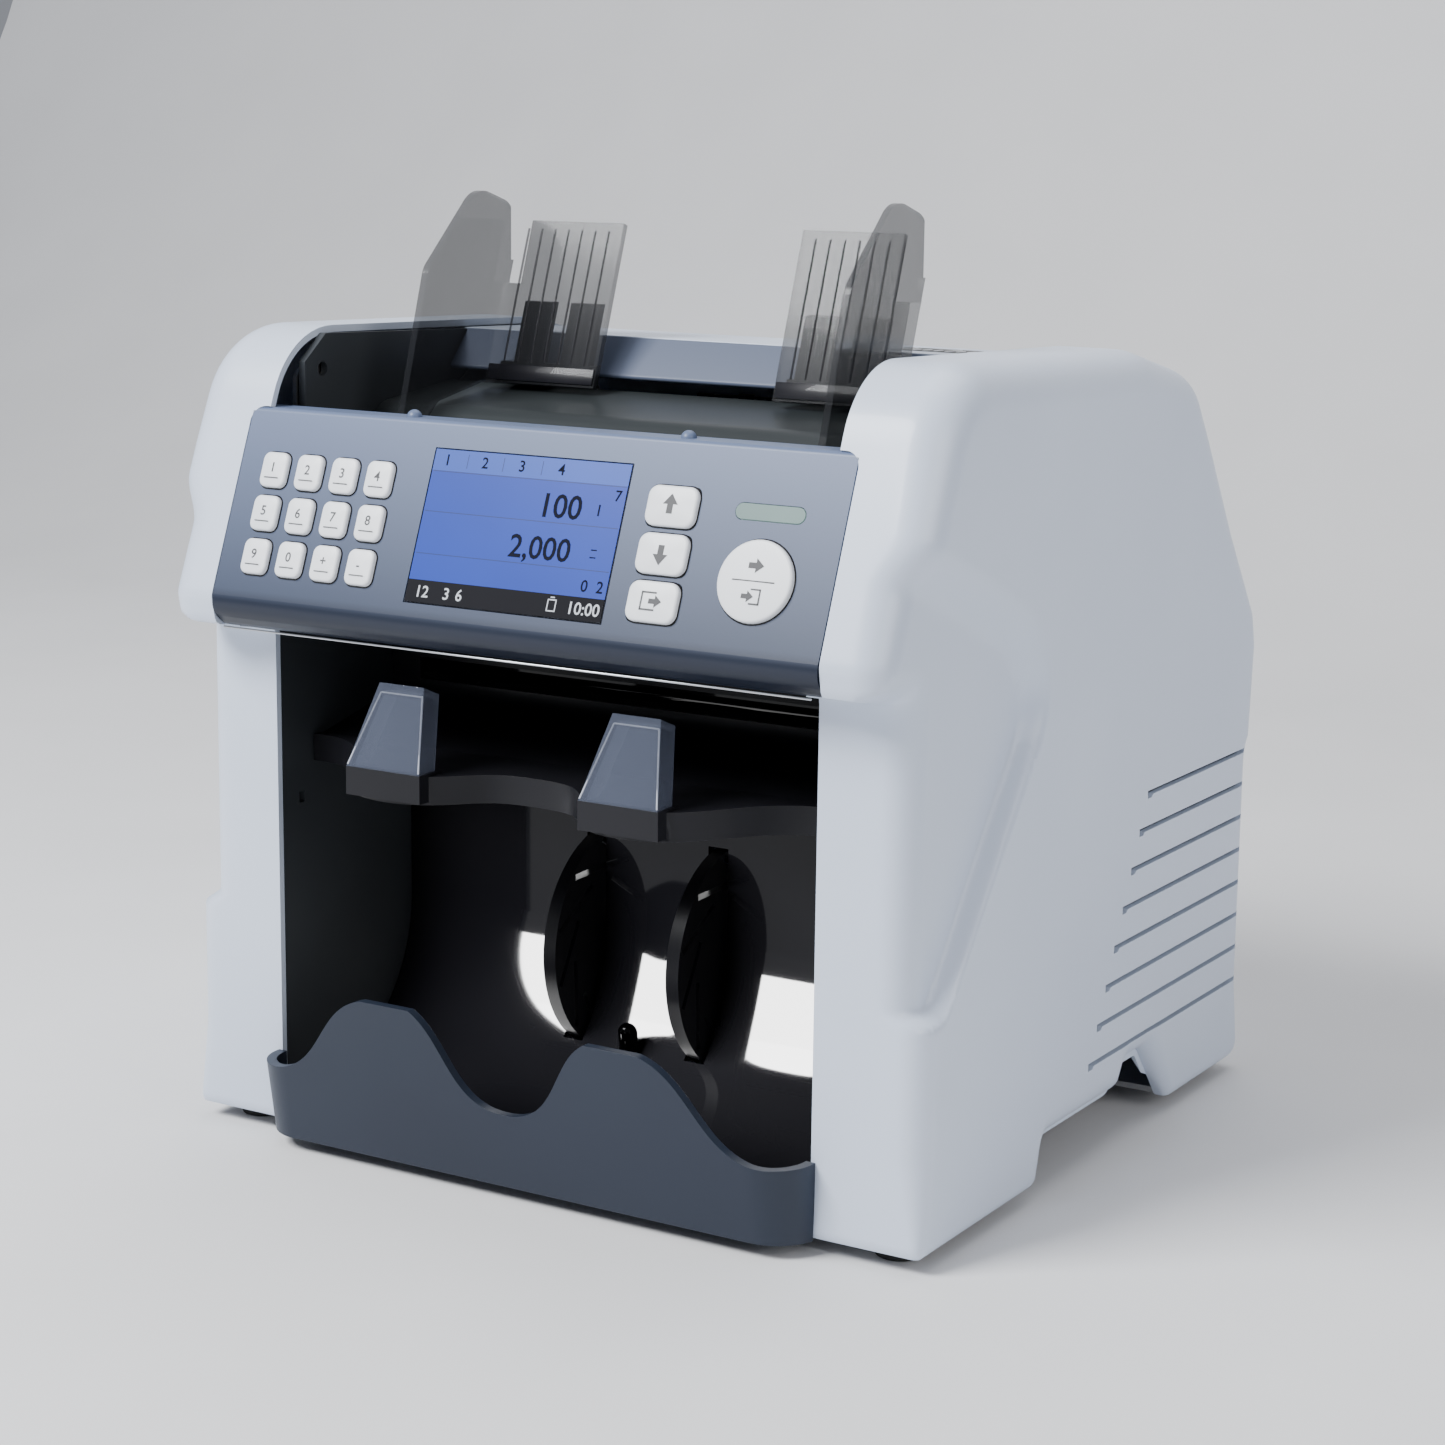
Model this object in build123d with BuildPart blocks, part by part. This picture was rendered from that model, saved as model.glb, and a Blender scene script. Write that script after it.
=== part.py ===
"""Two-pocket banknote counter: covers, hopper, control panel, pockets and the note transport inside.

X runs to the operator's right, the operator stands at -Y and Z is up. The origin is on the table,
under the middle of the machine. All sizes are in millimetres, and a pair in brackets is (y, z).
"""

import os
from math import atan, cos, pi, radians, sin, sqrt, tan

from build123d import *

# Overall size
width = 290
depth = 289
crest_z = 281
foot_height = 5

# Shell
wall = 3.0
seam = 0.4
column_width = 39
recess_depth = 7
cover_edge_radius = 6

# Clearances
fit_gap = 0.05
part_gap = 0.3

# Planes that everything else is placed from
half_width = width / 2
front_y = -depth / 2
rear_y = depth / 2
base_z = foot_height
face_y = front_y + 22.5
rear_low_y = rear_y - 6
opening_half = half_width - column_width
opening_z = crest_z - 101
liner_x = opening_half + 0.5
liner_thickness = 2.6
liner_outer_x = liner_x + liner_thickness
inner_half = liner_x - part_gap
return_x = liner_outer_x + seam
plate_x = return_x + 0.5
plate_thickness = 1.5
plate_outer_x = plate_x + plate_thickness

# Control panel
panel_tilt = 21
panel_top_y = face_y + 3.6
panel_top_z = crest_z - 26.5
panel_half = half_width - 28.65
panel_thickness = 2.5
panel_corner = 5

# Shafts
shaft_radius = 4
bearing_radius = 7
kicker_at = (face_y + 53.9, crest_z - 51.9)
feed_at = (face_y + 36, crest_z - 75)
drum_at = (face_y + 184, crest_z - 121)
stacker_at = (face_y + 86, base_z + 61)
diverter_at = (face_y + 114, crest_z - 153)
roller_width = 12
kicker_radius = 15
feed_radius = 15
drum_radius = 28
impeller_radius = 40
impeller_x = 25
impeller_thickness = 5
hub_radius = 7

# Gears and belt
gear_module = 1.5
motor_teeth = 20
drum_teeth = 50
gear_distance = gear_module * (motor_teeth + drum_teeth) / 2
motor_drop = 50.87
motor_at = (drum_at[0] + sqrt(gear_distance**2 - motor_drop**2), drum_at[1] - motor_drop)
motor_radius = 17
gear_x = plate_outer_x + 4
gear_width = 5
belt_x = gear_x + gear_width + 2
belt_width = 6
pulley_radius = 9
belt_thickness = 1.4

# Hopper guides and their rack drive
guide_x = 82.6
guide_sheet = 2.5
guide_reach = 46.6
rack_module = 1.25
pinion_teeth = 12
pinion_y = face_y + 132
pinion_radius = rack_module * pinion_teeth / 2
rack_z = crest_z - 29.5
rack_height = 5


def save(builder, name):
    """Labels a finished sub-part and writes it to its own STEP file."""
    builder.part.label = name
    export_step(builder.part, f"parts/{name}.step")


def panel_at(down, out=0.0):
    """Point (y, z) on the panel's section: down the panel from its top edge, and out of its face."""
    tilt = radians(panel_tilt)
    y = panel_top_y - down * sin(tilt) - out * cos(tilt)
    z = panel_top_z - down * cos(tilt) + out * sin(tilt)
    return (y, z)


def panel_plane(out=0.0):
    """The plane of the panel's face: local x to the right, local y up the panel, normal to the user."""
    tilt = radians(panel_tilt)
    y, z = panel_at(0, out)
    return Plane(origin=(0, y, z), x_dir=(1, 0, 0), z_dir=(0, -cos(tilt), sin(tilt)))


def profile(points, x_low, x_high, mode=Mode.ADD):
    """Extrudes a closed outline in the YZ plane from x_low to x_high."""
    with BuildSketch(Plane.YZ.offset(x_low)) as outline:
        with BuildLine():
            Polyline(*points, close=True)
        make_face()
    extrude(outline.sketch, amount=x_high - x_low, mode=mode)


def bent_sheet(points, radii, thickness, x_low, x_high):
    """Extrudes a sheet of even thickness along X. It lies on the left of its path in the YZ plane."""
    with BuildSketch(Plane.YZ.offset(x_low)) as section:
        with BuildLine():
            if radii:
                FilletPolyline(*points, radius=radii)
            else:
                Line(*points)
            offset(amount=thickness, side=Side.LEFT)
        make_face()
    extrude(section.sketch, amount=x_high - x_low)


def rod(at, radius, x_low, x_high, mode=Mode.ADD):
    """A cylinder along X at the point (y, z)."""
    with BuildSketch(Plane.YZ.offset(x_low)) as disc:
        with Locations(at):
            Circle(radius)
    extrude(disc.sketch, amount=x_high - x_low, mode=mode)


def block(low, high, mode=Mode.ADD):
    """A box between two corners."""
    size = [b - a for a, b in zip(low, high)]
    middle = tuple((a + b) / 2 for a, b in zip(low, high))
    with Locations(middle):
        Box(*size, mode=mode)


def both_sides(low, high, mode=Mode.ADD):
    """A box between two corners, and its mirror image at -X."""
    block(low, high, mode)
    block((-high[0], low[1], low[2]), (-low[0], high[1], high[2]), mode)


def gear_points(teeth, module, turn=0.0, thin=0.12, addendum=0.8, dedendum=1.15):
    """Outline of a spur gear. Each tooth is a little thin, so that a meshed pair never touches."""
    pitch = module * teeth / 2
    base = pitch * cos(radians(20))
    half = pi / (2 * teeth) - thin / pitch + tan(radians(20)) - radians(20)
    flank = []
    for step in range(5):
        radius = pitch + module * (step / 4 * (addendum + dedendum) - dedendum)
        slope = sqrt(max(radius / base, 1.0) ** 2 - 1)
        flank.append((radius, half - slope + atan(slope)))
    points = []
    for tooth in range(teeth):
        middle = turn + 2 * pi * tooth / teeth
        points += [(r * cos(middle - a), r * sin(middle - a)) for r, a in flank]
        points += [(r * cos(middle + a), r * sin(middle + a)) for r, a in reversed(flank)]
    return points


def gear(at, teeth, x_low, x_high, turn=0.0):
    """A spur gear on an X axis at the point (y, z)."""
    with BuildSketch(Plane.YZ.offset(x_low)) as teeth_face:
        with BuildLine():
            outline = gear_points(teeth, gear_module, turn)
            Polyline(*[(at[0] + a, at[1] + b) for a, b in outline], close=True)
        make_face()
    extrude(teeth_face.sketch, amount=x_high - x_low)


def shaft(at, left_x, right_x, pulley=True):
    """A steel shaft along X, with a grooved belt pulley on its right end."""
    rod(at, shaft_radius, left_x, right_x)
    if pulley:
        rod(at, pulley_radius, belt_x - 0.5, belt_x + belt_width + 0.5)


def rollers(at, radius, places):
    """Roller tyres round a shaft, centred on the given places along X."""
    for x in places:
        rod(at, radius, x - roller_width / 2, x + roller_width / 2)


os.makedirs("parts", exist_ok=True)

# ---- Side covers --------------------------------------------------------------------------------

cover_profile = [
    (face_y, base_z),
    (face_y, opening_z),
    (panel_at(69)[0] + 3, opening_z + 3),
    panel_at(66),
    panel_at(-17),
    (face_y + 36, crest_z),
    (rear_y - 108.5, crest_z - 4),
    (rear_y - 65.5, crest_z - 14),
    (rear_y - 28.5, crest_z - 70),
    (rear_y - 3.5, crest_z - 104),
    (rear_y, crest_z - 118),
    (rear_y - 2.5, crest_z - 155),
    (rear_low_y, crest_z - 159),
    (rear_low_y, base_z),
]
cover_radii = [0.5, 2, 3, 4, 12, 12, 14, 14, 10, 8, 5, 1, 1, 0.5]
recess_profile = [
    (face_y - 5, base_z + 76),
    (face_y + 13, base_z + 76),
    (face_y + 75, crest_z - 120),
    (face_y + 78, crest_z - 108),
    (face_y + 65, crest_z - 88),
    (face_y + 32, crest_z - 72),
    (face_y - 5, crest_z - 60),
    (face_y - 5, opening_z - 1),
]
hand_hold = [
    (face_y + 82, base_z - 1),
    (face_y + 91, base_z + 15),
    (face_y + 151, base_z + 15),
    (face_y + 158, base_z + 23),
    (face_y + 176, base_z + 23),
    (face_y + 195, base_z - 1),
]
vent_rows = 8
vent_pitch = 12.5
vent_height = 2.4
vent_low_z = base_z + 31.4
vent_start_y = face_y + 122
vent_slant = 6
vent_end_y = rear_low_y - 5
screw_radius = 1.5
screw_x = half_width - 17
screw_rows = (base_z + 16, base_z + 104)

with BuildSketch() as cover_outline:
    with BuildLine():
        FilletPolyline(*cover_profile, radius=cover_radii, close=True)
    make_face()

with BuildSketch() as cavity_outline:
    add(cover_outline.sketch)
    offset(amount=-wall)
    with Locations(((face_y + rear_low_y) / 2, base_z)):
        Rectangle(rear_low_y - face_y - 2 * wall, 4 * wall)

with BuildSketch() as recess_outline:
    with BuildLine():
        Polyline(*recess_profile, close=True)
    make_face()

with BuildSketch() as outer_cavity_outline:
    add(cavity_outline.sketch)
    with BuildSketch(mode=Mode.PRIVATE) as recess_wall:
        add(recess_outline.sketch)
        offset(amount=wall)
    add(recess_wall.sketch, mode=Mode.SUBTRACT)

with BuildPart() as side_cover_right:
    inner_skin_x = half_width - wall
    extrude(Plane.YZ.offset(return_x) * cover_outline.sketch, amount=half_width - return_x)
    fillet(side_cover_right.faces().sort_by(Axis.X)[-1].edges(), radius=cover_edge_radius)
    extrude(
        Plane.YZ.offset(return_x - 1) * cavity_outline.sketch,
        amount=inner_skin_x - recess_depth - return_x + 1,
        mode=Mode.SUBTRACT,
    )
    extrude(
        Plane.YZ.offset(inner_skin_x - recess_depth) * outer_cavity_outline.sketch,
        amount=recess_depth,
        mode=Mode.SUBTRACT,
    )
    extrude(
        Plane.YZ.offset(half_width - recess_depth) * recess_outline.sketch,
        amount=recess_depth + 1,
        mode=Mode.SUBTRACT,
    )
    block((opening_half, face_y, base_z), (return_x + 1, face_y + wall, opening_z))
    bay_rear_y = face_y + 15
    bay_top_z = panel_top_z + seam
    bay = [
        (front_y - 5, opening_z),
        (bay_rear_y, opening_z),
        (bay_rear_y, bay_top_z),
        (front_y - 5, bay_top_z),
    ]
    profile(bay, return_x - 1, panel_half + seam, Mode.SUBTRACT)
    profile(hand_hold, inner_skin_x - 1, half_width + 1, Mode.SUBTRACT)
    for row in range(vent_rows):
        start_y = vent_start_y + row * vent_slant
        low_z = vent_low_z + row * vent_pitch - vent_height / 2
        block(
            (inner_skin_x - 1, start_y, low_z),
            (half_width + 1, vent_end_y, low_z + vent_height),
            Mode.SUBTRACT,
        )
    for z in screw_rows:
        with Locations(Plane(origin=(screw_x, rear_low_y, z), z_dir=(0, 1, 0))):
            Hole(screw_radius + fit_gap, depth=wall + 1)
save(side_cover_right, "side_cover_right")

with BuildPart() as side_cover_left:
    mirror(side_cover_right.part, about=Plane.YZ)
save(side_cover_left, "side_cover_left")

with BuildPart() as cover_screws:
    for x in (-screw_x, screw_x):
        for z in screw_rows:
            with Locations(Plane(origin=(x, rear_low_y, z), z_dir=(0, 1, 0))):
                Cylinder(3.2, 1.8, align=(Align.CENTER, Align.CENTER, Align.MIN))
            with Locations(Plane(origin=(x, rear_low_y, z), z_dir=(0, -1, 0))):
                Cylinder(screw_radius, 8, align=(Align.CENTER, Align.CENTER, Align.MIN))
save(cover_screws, "cover_screws")

# ---- Base tray and feet -------------------------------------------------------------------------

tray_thickness = 2
tray_half = half_width - wall - seam
tray_front_y = face_y + wall + seam
tray_rear_y = rear_low_y - wall - seam
tray_top_z = base_z + tray_thickness
hold_inner_x = half_width - 27
foot_x = half_width - 16
foot_radius = 8

with BuildPart() as base_tray:
    block((-tray_half, tray_front_y, base_z), (tray_half, tray_rear_y, tray_top_z))
    both_sides(
        (hold_inner_x, face_y + 78, base_z - 1), (half_width, face_y + 198, tray_top_z + 1), Mode.SUBTRACT
    )
    both_sides(
        (hold_inner_x - tray_thickness, face_y + 76, base_z), (hold_inner_x, face_y + 200, base_z + 26)
    )
save(base_tray, "base_tray")

with BuildPart() as feet:
    for y in (tray_front_y + 14, tray_rear_y - 14):
        with Locations((-foot_x, y, 0), (foot_x, y, 0)):
            Cylinder(foot_radius, foot_height, align=(Align.CENTER, Align.CENTER, Align.MIN))
    fillet(feet.faces().filter_by(Axis.Z).sort_by(Axis.Z)[:4].edges(), radius=0.8)
save(feet, "feet")

# ---- Frame plates and bearings ------------------------------------------------------------------

hinge_at = (rear_y - 12.5, crest_z - 153)
hinge_pin_radius = 2
through_shafts = (kicker_at, feed_at, drum_at, stacker_at, diverter_at)
plate_profile = [
    (face_y + 8, tray_top_z),
    (face_y + 8, opening_z - 2),
    (face_y + 18, opening_z + 4),
    (face_y + 18, crest_z - 17),
    (face_y + 28, crest_z - 8),
    (rear_y - 112, crest_z - 11),
    (rear_y - 71, crest_z - 20),
    (rear_y - 35, crest_z - 76),
    (rear_y - 9, crest_z - 112),
    (rear_y - 9, crest_z - 156),
    (tray_rear_y - 1, crest_z - 162),
    (tray_rear_y - 1, tray_top_z),
]

with BuildPart() as frame_plate_right:
    profile(plate_profile, plate_x, plate_outer_x)
    for at in through_shafts:
        rod(at, bearing_radius, plate_x - 1, plate_outer_x + 1, Mode.SUBTRACT)
    rod(hinge_at, hinge_pin_radius + fit_gap, plate_x - 1, plate_outer_x + 1, Mode.SUBTRACT)
    rod(motor_at, shaft_radius + 2, plate_x - 1, plate_outer_x + 1, Mode.SUBTRACT)
save(frame_plate_right, "frame_plate_right")

with BuildPart() as frame_plate_left:
    profile(plate_profile, -plate_outer_x, -plate_x)
    for at in through_shafts:
        rod(at, bearing_radius, -plate_outer_x - 1, -plate_x + 1, Mode.SUBTRACT)
    rod(hinge_at, hinge_pin_radius + fit_gap, -plate_outer_x - 1, -plate_x + 1, Mode.SUBTRACT)
save(frame_plate_left, "frame_plate_left")

with BuildPart() as bearings:
    for at in through_shafts:
        for low_x in (-plate_outer_x, plate_x):
            rod(at, bearing_radius, low_x, low_x + plate_thickness)
        rod(at, bearing_radius + 1.5, plate_outer_x, plate_outer_x + 1)
        rod(at, bearing_radius + 1.5, -plate_outer_x - 1, -plate_outer_x)
        rod(at, shaft_radius + fit_gap, -plate_outer_x - 3, plate_outer_x + 3, Mode.SUBTRACT)
save(bearings, "bearings")

# ---- Control panel ------------------------------------------------------------------------------

key_size = (10.5, 12)
key_radius = 2.2
key_gap = 0.3
key_height = 2.2
key_columns = [-101 + 14.5 * n for n in range(4)]
key_rows = [21.4 + 14.9 * n for n in range(3)]
nav_size = (18, 13)
nav_x = 55.6
start_radius = 13
start_at = (90, 42.3)
flange = 0.7
flange_thickness = 1.0
key_travel = 1.2
screen_half = 38
screen_top = 9.2
screen_height = 51.2
lens_size = (24.3, 5)
lens_at = (90.1, 20.8)
board_depth = 8.5
board_thickness = 1.6
dome_height = 0.6

keys = {}
for row, down in enumerate(key_rows):
    for column, across in enumerate(key_columns):
        keys[f"key_{row + 1}{column + 1}"] = (across, down, key_size)
for name, down in zip(("key_up", "key_down", "key_menu"), (21.6, 36.8, 52.0)):
    keys[name] = (nav_x, down, nav_size)


def key_face(plane, size, grow=0.0):
    """A rounded key outline on a plane, grown all round by a margin."""
    with BuildSketch(plane) as face:
        RectangleRounded(size[0] + 2 * grow, size[1] + 2 * grow, key_radius + grow)
    return face.sketch


def panel_spot(across, down, out=0.0):
    """The panel's plane moved to a place across and down the panel, at a height above its face."""
    return panel_plane(out) * Plane(origin=(across, -down, 0)).location


with BuildPart() as fascia:
    panel_path = [
        (face_y + 13.6, panel_top_z),
        panel_at(0),
        panel_at(70),
        (panel_at(70)[0] + 7.5, opening_z + 2.2),
        (face_y - 2, opening_z + 2.2),
    ]
    bent_sheet(panel_path, [2, 7, 6], panel_thickness, -panel_half, panel_half)
    with BuildSketch(panel_plane(-30)) as outline:
        with Locations((0, -36)):
            RectangleRounded(2 * panel_half, 72 + 2 * panel_corner, panel_corner)
    extrude(outline.sketch, amount=40, mode=Mode.INTERSECT)
    for across, down, size in keys.values():
        hole = key_face(Plane(panel_spot(across, down, -panel_thickness - 1)), size, key_gap)
        extrude(hole, amount=panel_thickness + 2, mode=Mode.SUBTRACT)
    with BuildSketch(panel_plane(-panel_thickness - 1)) as openings:
        with Locations((start_at[0], -start_at[1])):
            Circle(start_radius + key_gap)
        with Locations((0, -screen_top - screen_height / 2)):
            Rectangle(2 * screen_half + 2 * part_gap, screen_height + 2 * part_gap)
        with Locations((lens_at[0], -lens_at[1])):
            SlotOverall(lens_size[0] + 2 * part_gap, lens_size[1] + 2 * part_gap)
    extrude(openings.sketch, amount=panel_thickness + 2, mode=Mode.SUBTRACT)
save(fascia, "fascia")

stem_length = board_depth - dome_height - key_travel - 0.1
flange_out = -panel_thickness - 0.1 - flange_thickness

for name, (across, down, size) in keys.items():
    with BuildPart() as key:
        cap = key_face(Plane(panel_spot(across, down, flange_out)), size)
        extrude(cap, amount=key_height - flange_out)
        fillet(key.faces().sort_by(Axis.Y)[0].edges(), radius=0.6)
        rim = key_face(Plane(panel_spot(across, down, flange_out)), size, flange)
        extrude(rim, amount=flange_thickness)
        with BuildSketch(Plane(panel_spot(across, down, -stem_length))) as stem:
            Circle(1.5)
        extrude(stem.sketch, amount=stem_length + flange_out)
    save(key, name)

with BuildPart() as key_start:
    with BuildSketch(Plane(panel_spot(*start_at, flange_out))) as cap:
        Circle(start_radius)
    extrude(cap.sketch, amount=key_height - flange_out)
    fillet(key_start.faces().sort_by(Axis.Y)[0].edges(), radius=1.0)
    with BuildSketch(Plane(panel_spot(*start_at, flange_out))) as rim:
        Circle(start_radius + flange)
    extrude(rim.sketch, amount=flange_thickness)
    with BuildSketch(Plane(panel_spot(*start_at, -stem_length))) as stem:
        Circle(1.5)
    extrude(stem.sketch, amount=stem_length + flange_out)
save(key_start, "key_start")

with BuildPart() as key_board:
    with BuildSketch(panel_plane(-board_depth - board_thickness)) as board:
        with Locations((0, -33)):
            Rectangle(2 * panel_half - 16, 56)
    extrude(board.sketch, amount=board_thickness)
    with BuildSketch(panel_plane(-board_depth)) as domes:
        for across, down, size in [*keys.values(), (*start_at, key_size)]:
            with Locations((across, -down)):
                Circle(2.5)
    extrude(domes.sketch, amount=dome_height)
save(key_board, "key_board")

with BuildPart() as lcd_module:
    with BuildSketch(panel_plane(-board_depth)) as module:
        with Locations((0, -screen_top - screen_height / 2)):
            Rectangle(2 * screen_half + 8, screen_height + 3)
    extrude(module.sketch, amount=board_depth - panel_thickness)
save(lcd_module, "lcd_module")

with BuildPart() as lcd_window:
    with BuildSketch(panel_plane(-panel_thickness)) as window:
        with Locations((0, -screen_top - screen_height / 2)):
            Rectangle(2 * screen_half, screen_height)
    extrude(window.sketch, amount=panel_thickness - 0.2)
save(lcd_window, "lcd_window")

with BuildPart() as led_lens:
    with BuildSketch(panel_plane(flange_out)) as rim:
        with Locations((lens_at[0], -lens_at[1])):
            SlotOverall(lens_size[0] + 3, lens_size[1] + 3)
    extrude(rim.sketch, amount=-panel_thickness - flange_out)
    with BuildSketch(panel_plane(-panel_thickness)) as lens:
        with Locations((lens_at[0], -lens_at[1])):
            SlotOverall(*lens_size)
    extrude(lens.sketch, amount=panel_thickness + 0.3)
save(led_lens, "led_lens")

# ---- Hopper -------------------------------------------------------------------------------------

kicker_places = (-44, 0, 44)
feed_places = (-66, -22, 22, 66)
floor_thickness = 2
floor_rear = (face_y + 102, crest_z - 23.5)
floor_kink = (face_y + 60, crest_z - 28.5)
floor_front = (face_y + 30, crest_z - 55)
shelf_z = rack_z - rack_height / 2 - part_gap
rear_wall_top = (face_y + 112, crest_z - 5.7)
rear_wall_foot = (face_y + 100, crest_z - 19.5)

with BuildPart() as hopper_floor:
    floor_path = [
        (pinion_y + 20, shelf_z),
        (floor_rear[0] + 3, shelf_z),
        floor_rear,
        floor_kink,
        floor_front,
    ]
    bent_sheet(floor_path, [1, 1, 10], floor_thickness, -inner_half, inner_half)
    for x in kicker_places:
        half_slot = roller_width / 2 + 1.5
        rod(kicker_at, kicker_radius + 1.5, x - half_slot, x + half_slot, Mode.SUBTRACT)
    with Locations((0, pinion_y, shelf_z)):
        Cylinder(3, rack_height + 2, align=(Align.CENTER, Align.CENTER, Align.MIN))
save(hopper_floor, "hopper_floor")

with BuildPart() as hopper_rear_wall:
    bent_sheet([rear_wall_top, rear_wall_foot, (rear_wall_foot[0] + 6, rear_wall_foot[1])], 1.0, 2,
               -inner_half, inner_half)
save(hopper_rear_wall, "hopper_rear_wall")

with BuildPart() as inner_wall_right:
    liner_profile = [
        (face_y + wall + part_gap, tray_top_z),
        (face_y + wall + part_gap, opening_z - part_gap),
        (face_y + 18.5, opening_z + 3),
        (face_y + 18.5, crest_z - 12),
        (face_y + 30, crest_z - 3),
        (face_y + 113, crest_z - 6),
        (face_y + 115, crest_z - 19),
        (floor_rear[0], floor_rear[1] - 4),
        (floor_kink[0], floor_kink[1] - 4),
        (floor_front[0] + 1, floor_front[1] - 3),
        (face_y + 24, floor_front[1] - 10),
        (face_y + 24, opening_z + 4),
        (face_y + 66, opening_z + 4),
        (face_y + 66, opening_z - 30),
        (stacker_at[0] - 5, opening_z - 40),
        (stacker_at[0] - 5, tray_top_z),
    ]
    profile(liner_profile, liner_x, liner_outer_x)
    rod((face_y + 28, crest_z - 15), 2.5, liner_x - 1, liner_outer_x + 1, Mode.SUBTRACT)
    block(
        (liner_x - 1, face_y + 12, opening_z - 63),
        (liner_outer_x + 1, face_y + 15, opening_z - 59),
        Mode.SUBTRACT,
    )
save(inner_wall_right, "inner_wall_right")

with BuildPart() as inner_wall_left:
    mirror(inner_wall_right.part, about=Plane.YZ)
save(inner_wall_left, "inner_wall_left")

# ---- Hopper guides ------------------------------------------------------------------------------

guide_gap = 1.2
plate_foot = (face_y + 88.5, crest_z - 22)
plate_top = (face_y + 107.7, crest_z + 34)
notch_z = crest_z + 12
notch_width = 6.8
arm_z = crest_z - 22.3
arm_height = 2.3
guide_outline = [
    (plate_foot[0] + 1, plate_foot[1] + 0.5),
    (floor_kink[0], floor_kink[1] + guide_gap + 0.3),
    (floor_front[0] + 8, floor_front[1] + 9),
    (face_y + 36, floor_front[1] + 14),
    (face_y + 41, crest_z - 27),
    (face_y + 55, crest_z + 19),
    (face_y + 84, crest_z + 46),
    (face_y + 107.5, crest_z + 39),
    (face_y + 103, notch_z),
]
guide_radii = [0.5, 4, 1, 3, 4, 8, 12, 9, 1]

with BuildPart() as guide_right:
    with BuildSketch(Plane.YZ.offset(guide_x - guide_sheet / 2)) as side_face:
        with BuildLine():
            FilletPolyline(*guide_outline, radius=guide_radii, close=True)
        make_face()
    extrude(side_face.sketch, amount=guide_sheet)
    bent_sheet([plate_top, plate_foot], None, guide_sheet, guide_x - guide_reach, guide_x + guide_sheet / 2)
    notch_x = guide_x - guide_sheet / 2
    block(
        (notch_x - notch_width, face_y + 70, notch_z),
        (notch_x, face_y + 130, crest_z + 60),
        Mode.SUBTRACT,
    )
    block((notch_x, face_y + 104, notch_z + 8), (guide_x + 3, face_y + 130, crest_z + 60), Mode.SUBTRACT)
save(guide_right, "guide_right")

with BuildPart() as guide_left:
    mirror(guide_right.part, about=Plane.YZ)
save(guide_left, "guide_left")


rack_tip = 0.8 * rack_module
rack_root = 1.15 * rack_module
rack_thin = 0.12
rack_back = 4
rack_reach = 26
carriage_uprights = ((4, 44, crest_z - 15), (9.6, 21.6, crest_z + 6), (29.2, 41.2, crest_z + 6))


def carriage(side):
    """Foot, prongs, arm and toothed rack that carry one guide: side is 1 on the right, -1 on the left."""
    slope = (plate_top[0] - plate_foot[0]) / (plate_top[1] - plate_foot[1])
    back_y = plate_foot[0] + guide_sheet * sqrt(1 + slope**2) + fit_gap
    rack_y = pinion_y + side * pinion_radius
    root_y = rack_y + side * rack_root
    back_of_rack = rack_y + side * rack_back
    arm_x = sorted((side * (guide_x - 24), side * (guide_x - 6)))
    pitch = pi * rack_module
    with BuildPart() as body:
        for near, far, high_z in carriage_uprights:
            lean = slope * (high_z - plate_foot[1])
            section = [
                (back_y, plate_foot[1]),
                (back_y + 3.5, plate_foot[1]),
                (back_y + lean + 3.5, high_z),
                (back_y + lean, high_z),
            ]
            profile(section, *sorted((side * (guide_x - near), side * (guide_x - far))))
        arm_front_y = back_y + slope * (arm_z + arm_height - plate_foot[1])
        block((arm_x[0], arm_front_y, arm_z), (arm_x[1], max(root_y, back_of_rack), arm_z + arm_height))
        block(
            (arm_x[0], min(root_y, back_of_rack), rack_z - rack_height / 2),
            (arm_x[1], max(root_y, back_of_rack), arm_z + arm_height),
        )
        block(
            (min(-side * rack_reach, arm_x[0]), min(root_y, back_of_rack), rack_z - rack_height / 2),
            (max(-side * rack_reach, arm_x[1]), max(root_y, back_of_rack), rack_z + rack_height / 2),
        )
        with BuildSketch(Plane.XY.offset(rack_z - rack_height / 2)) as teeth:
            tip = pitch / 4 - rack_thin - rack_tip * tan(radians(20))
            foot = pitch / 4 - rack_thin + rack_root * tan(radians(20))
            first = -int(rack_reach / pitch)
            for n in range(first, int((guide_x - 24) / pitch)):
                middle = side * (n + 0.5) * pitch
                with BuildLine():
                    Polyline(
                        (middle - foot, root_y + side * fit_gap),
                        (middle - tip, rack_y - side * rack_tip),
                        (middle + tip, rack_y - side * rack_tip),
                        (middle + foot, root_y + side * fit_gap),
                        close=True,
                    )
                make_face()
        extrude(amount=rack_height)
    return body


save(carriage(1), "guide_carriage_right")
save(carriage(-1), "guide_carriage_left")

with BuildPart() as guide_pinion:
    with BuildSketch(Plane.XY.offset(rack_z - rack_height / 2)) as pinion_face:
        with BuildLine():
            teeth = gear_points(pinion_teeth, rack_module, pi / 2)
            Polyline(*[(a, pinion_y + b) for a, b in teeth], close=True)
        make_face()
        with Locations((0, pinion_y)):
            Circle(3 + fit_gap, mode=Mode.SUBTRACT)
    extrude(amount=rack_height)
save(guide_pinion, "guide_pinion")

# ---- Reject pocket ------------------------------------------------------------------------------

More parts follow.
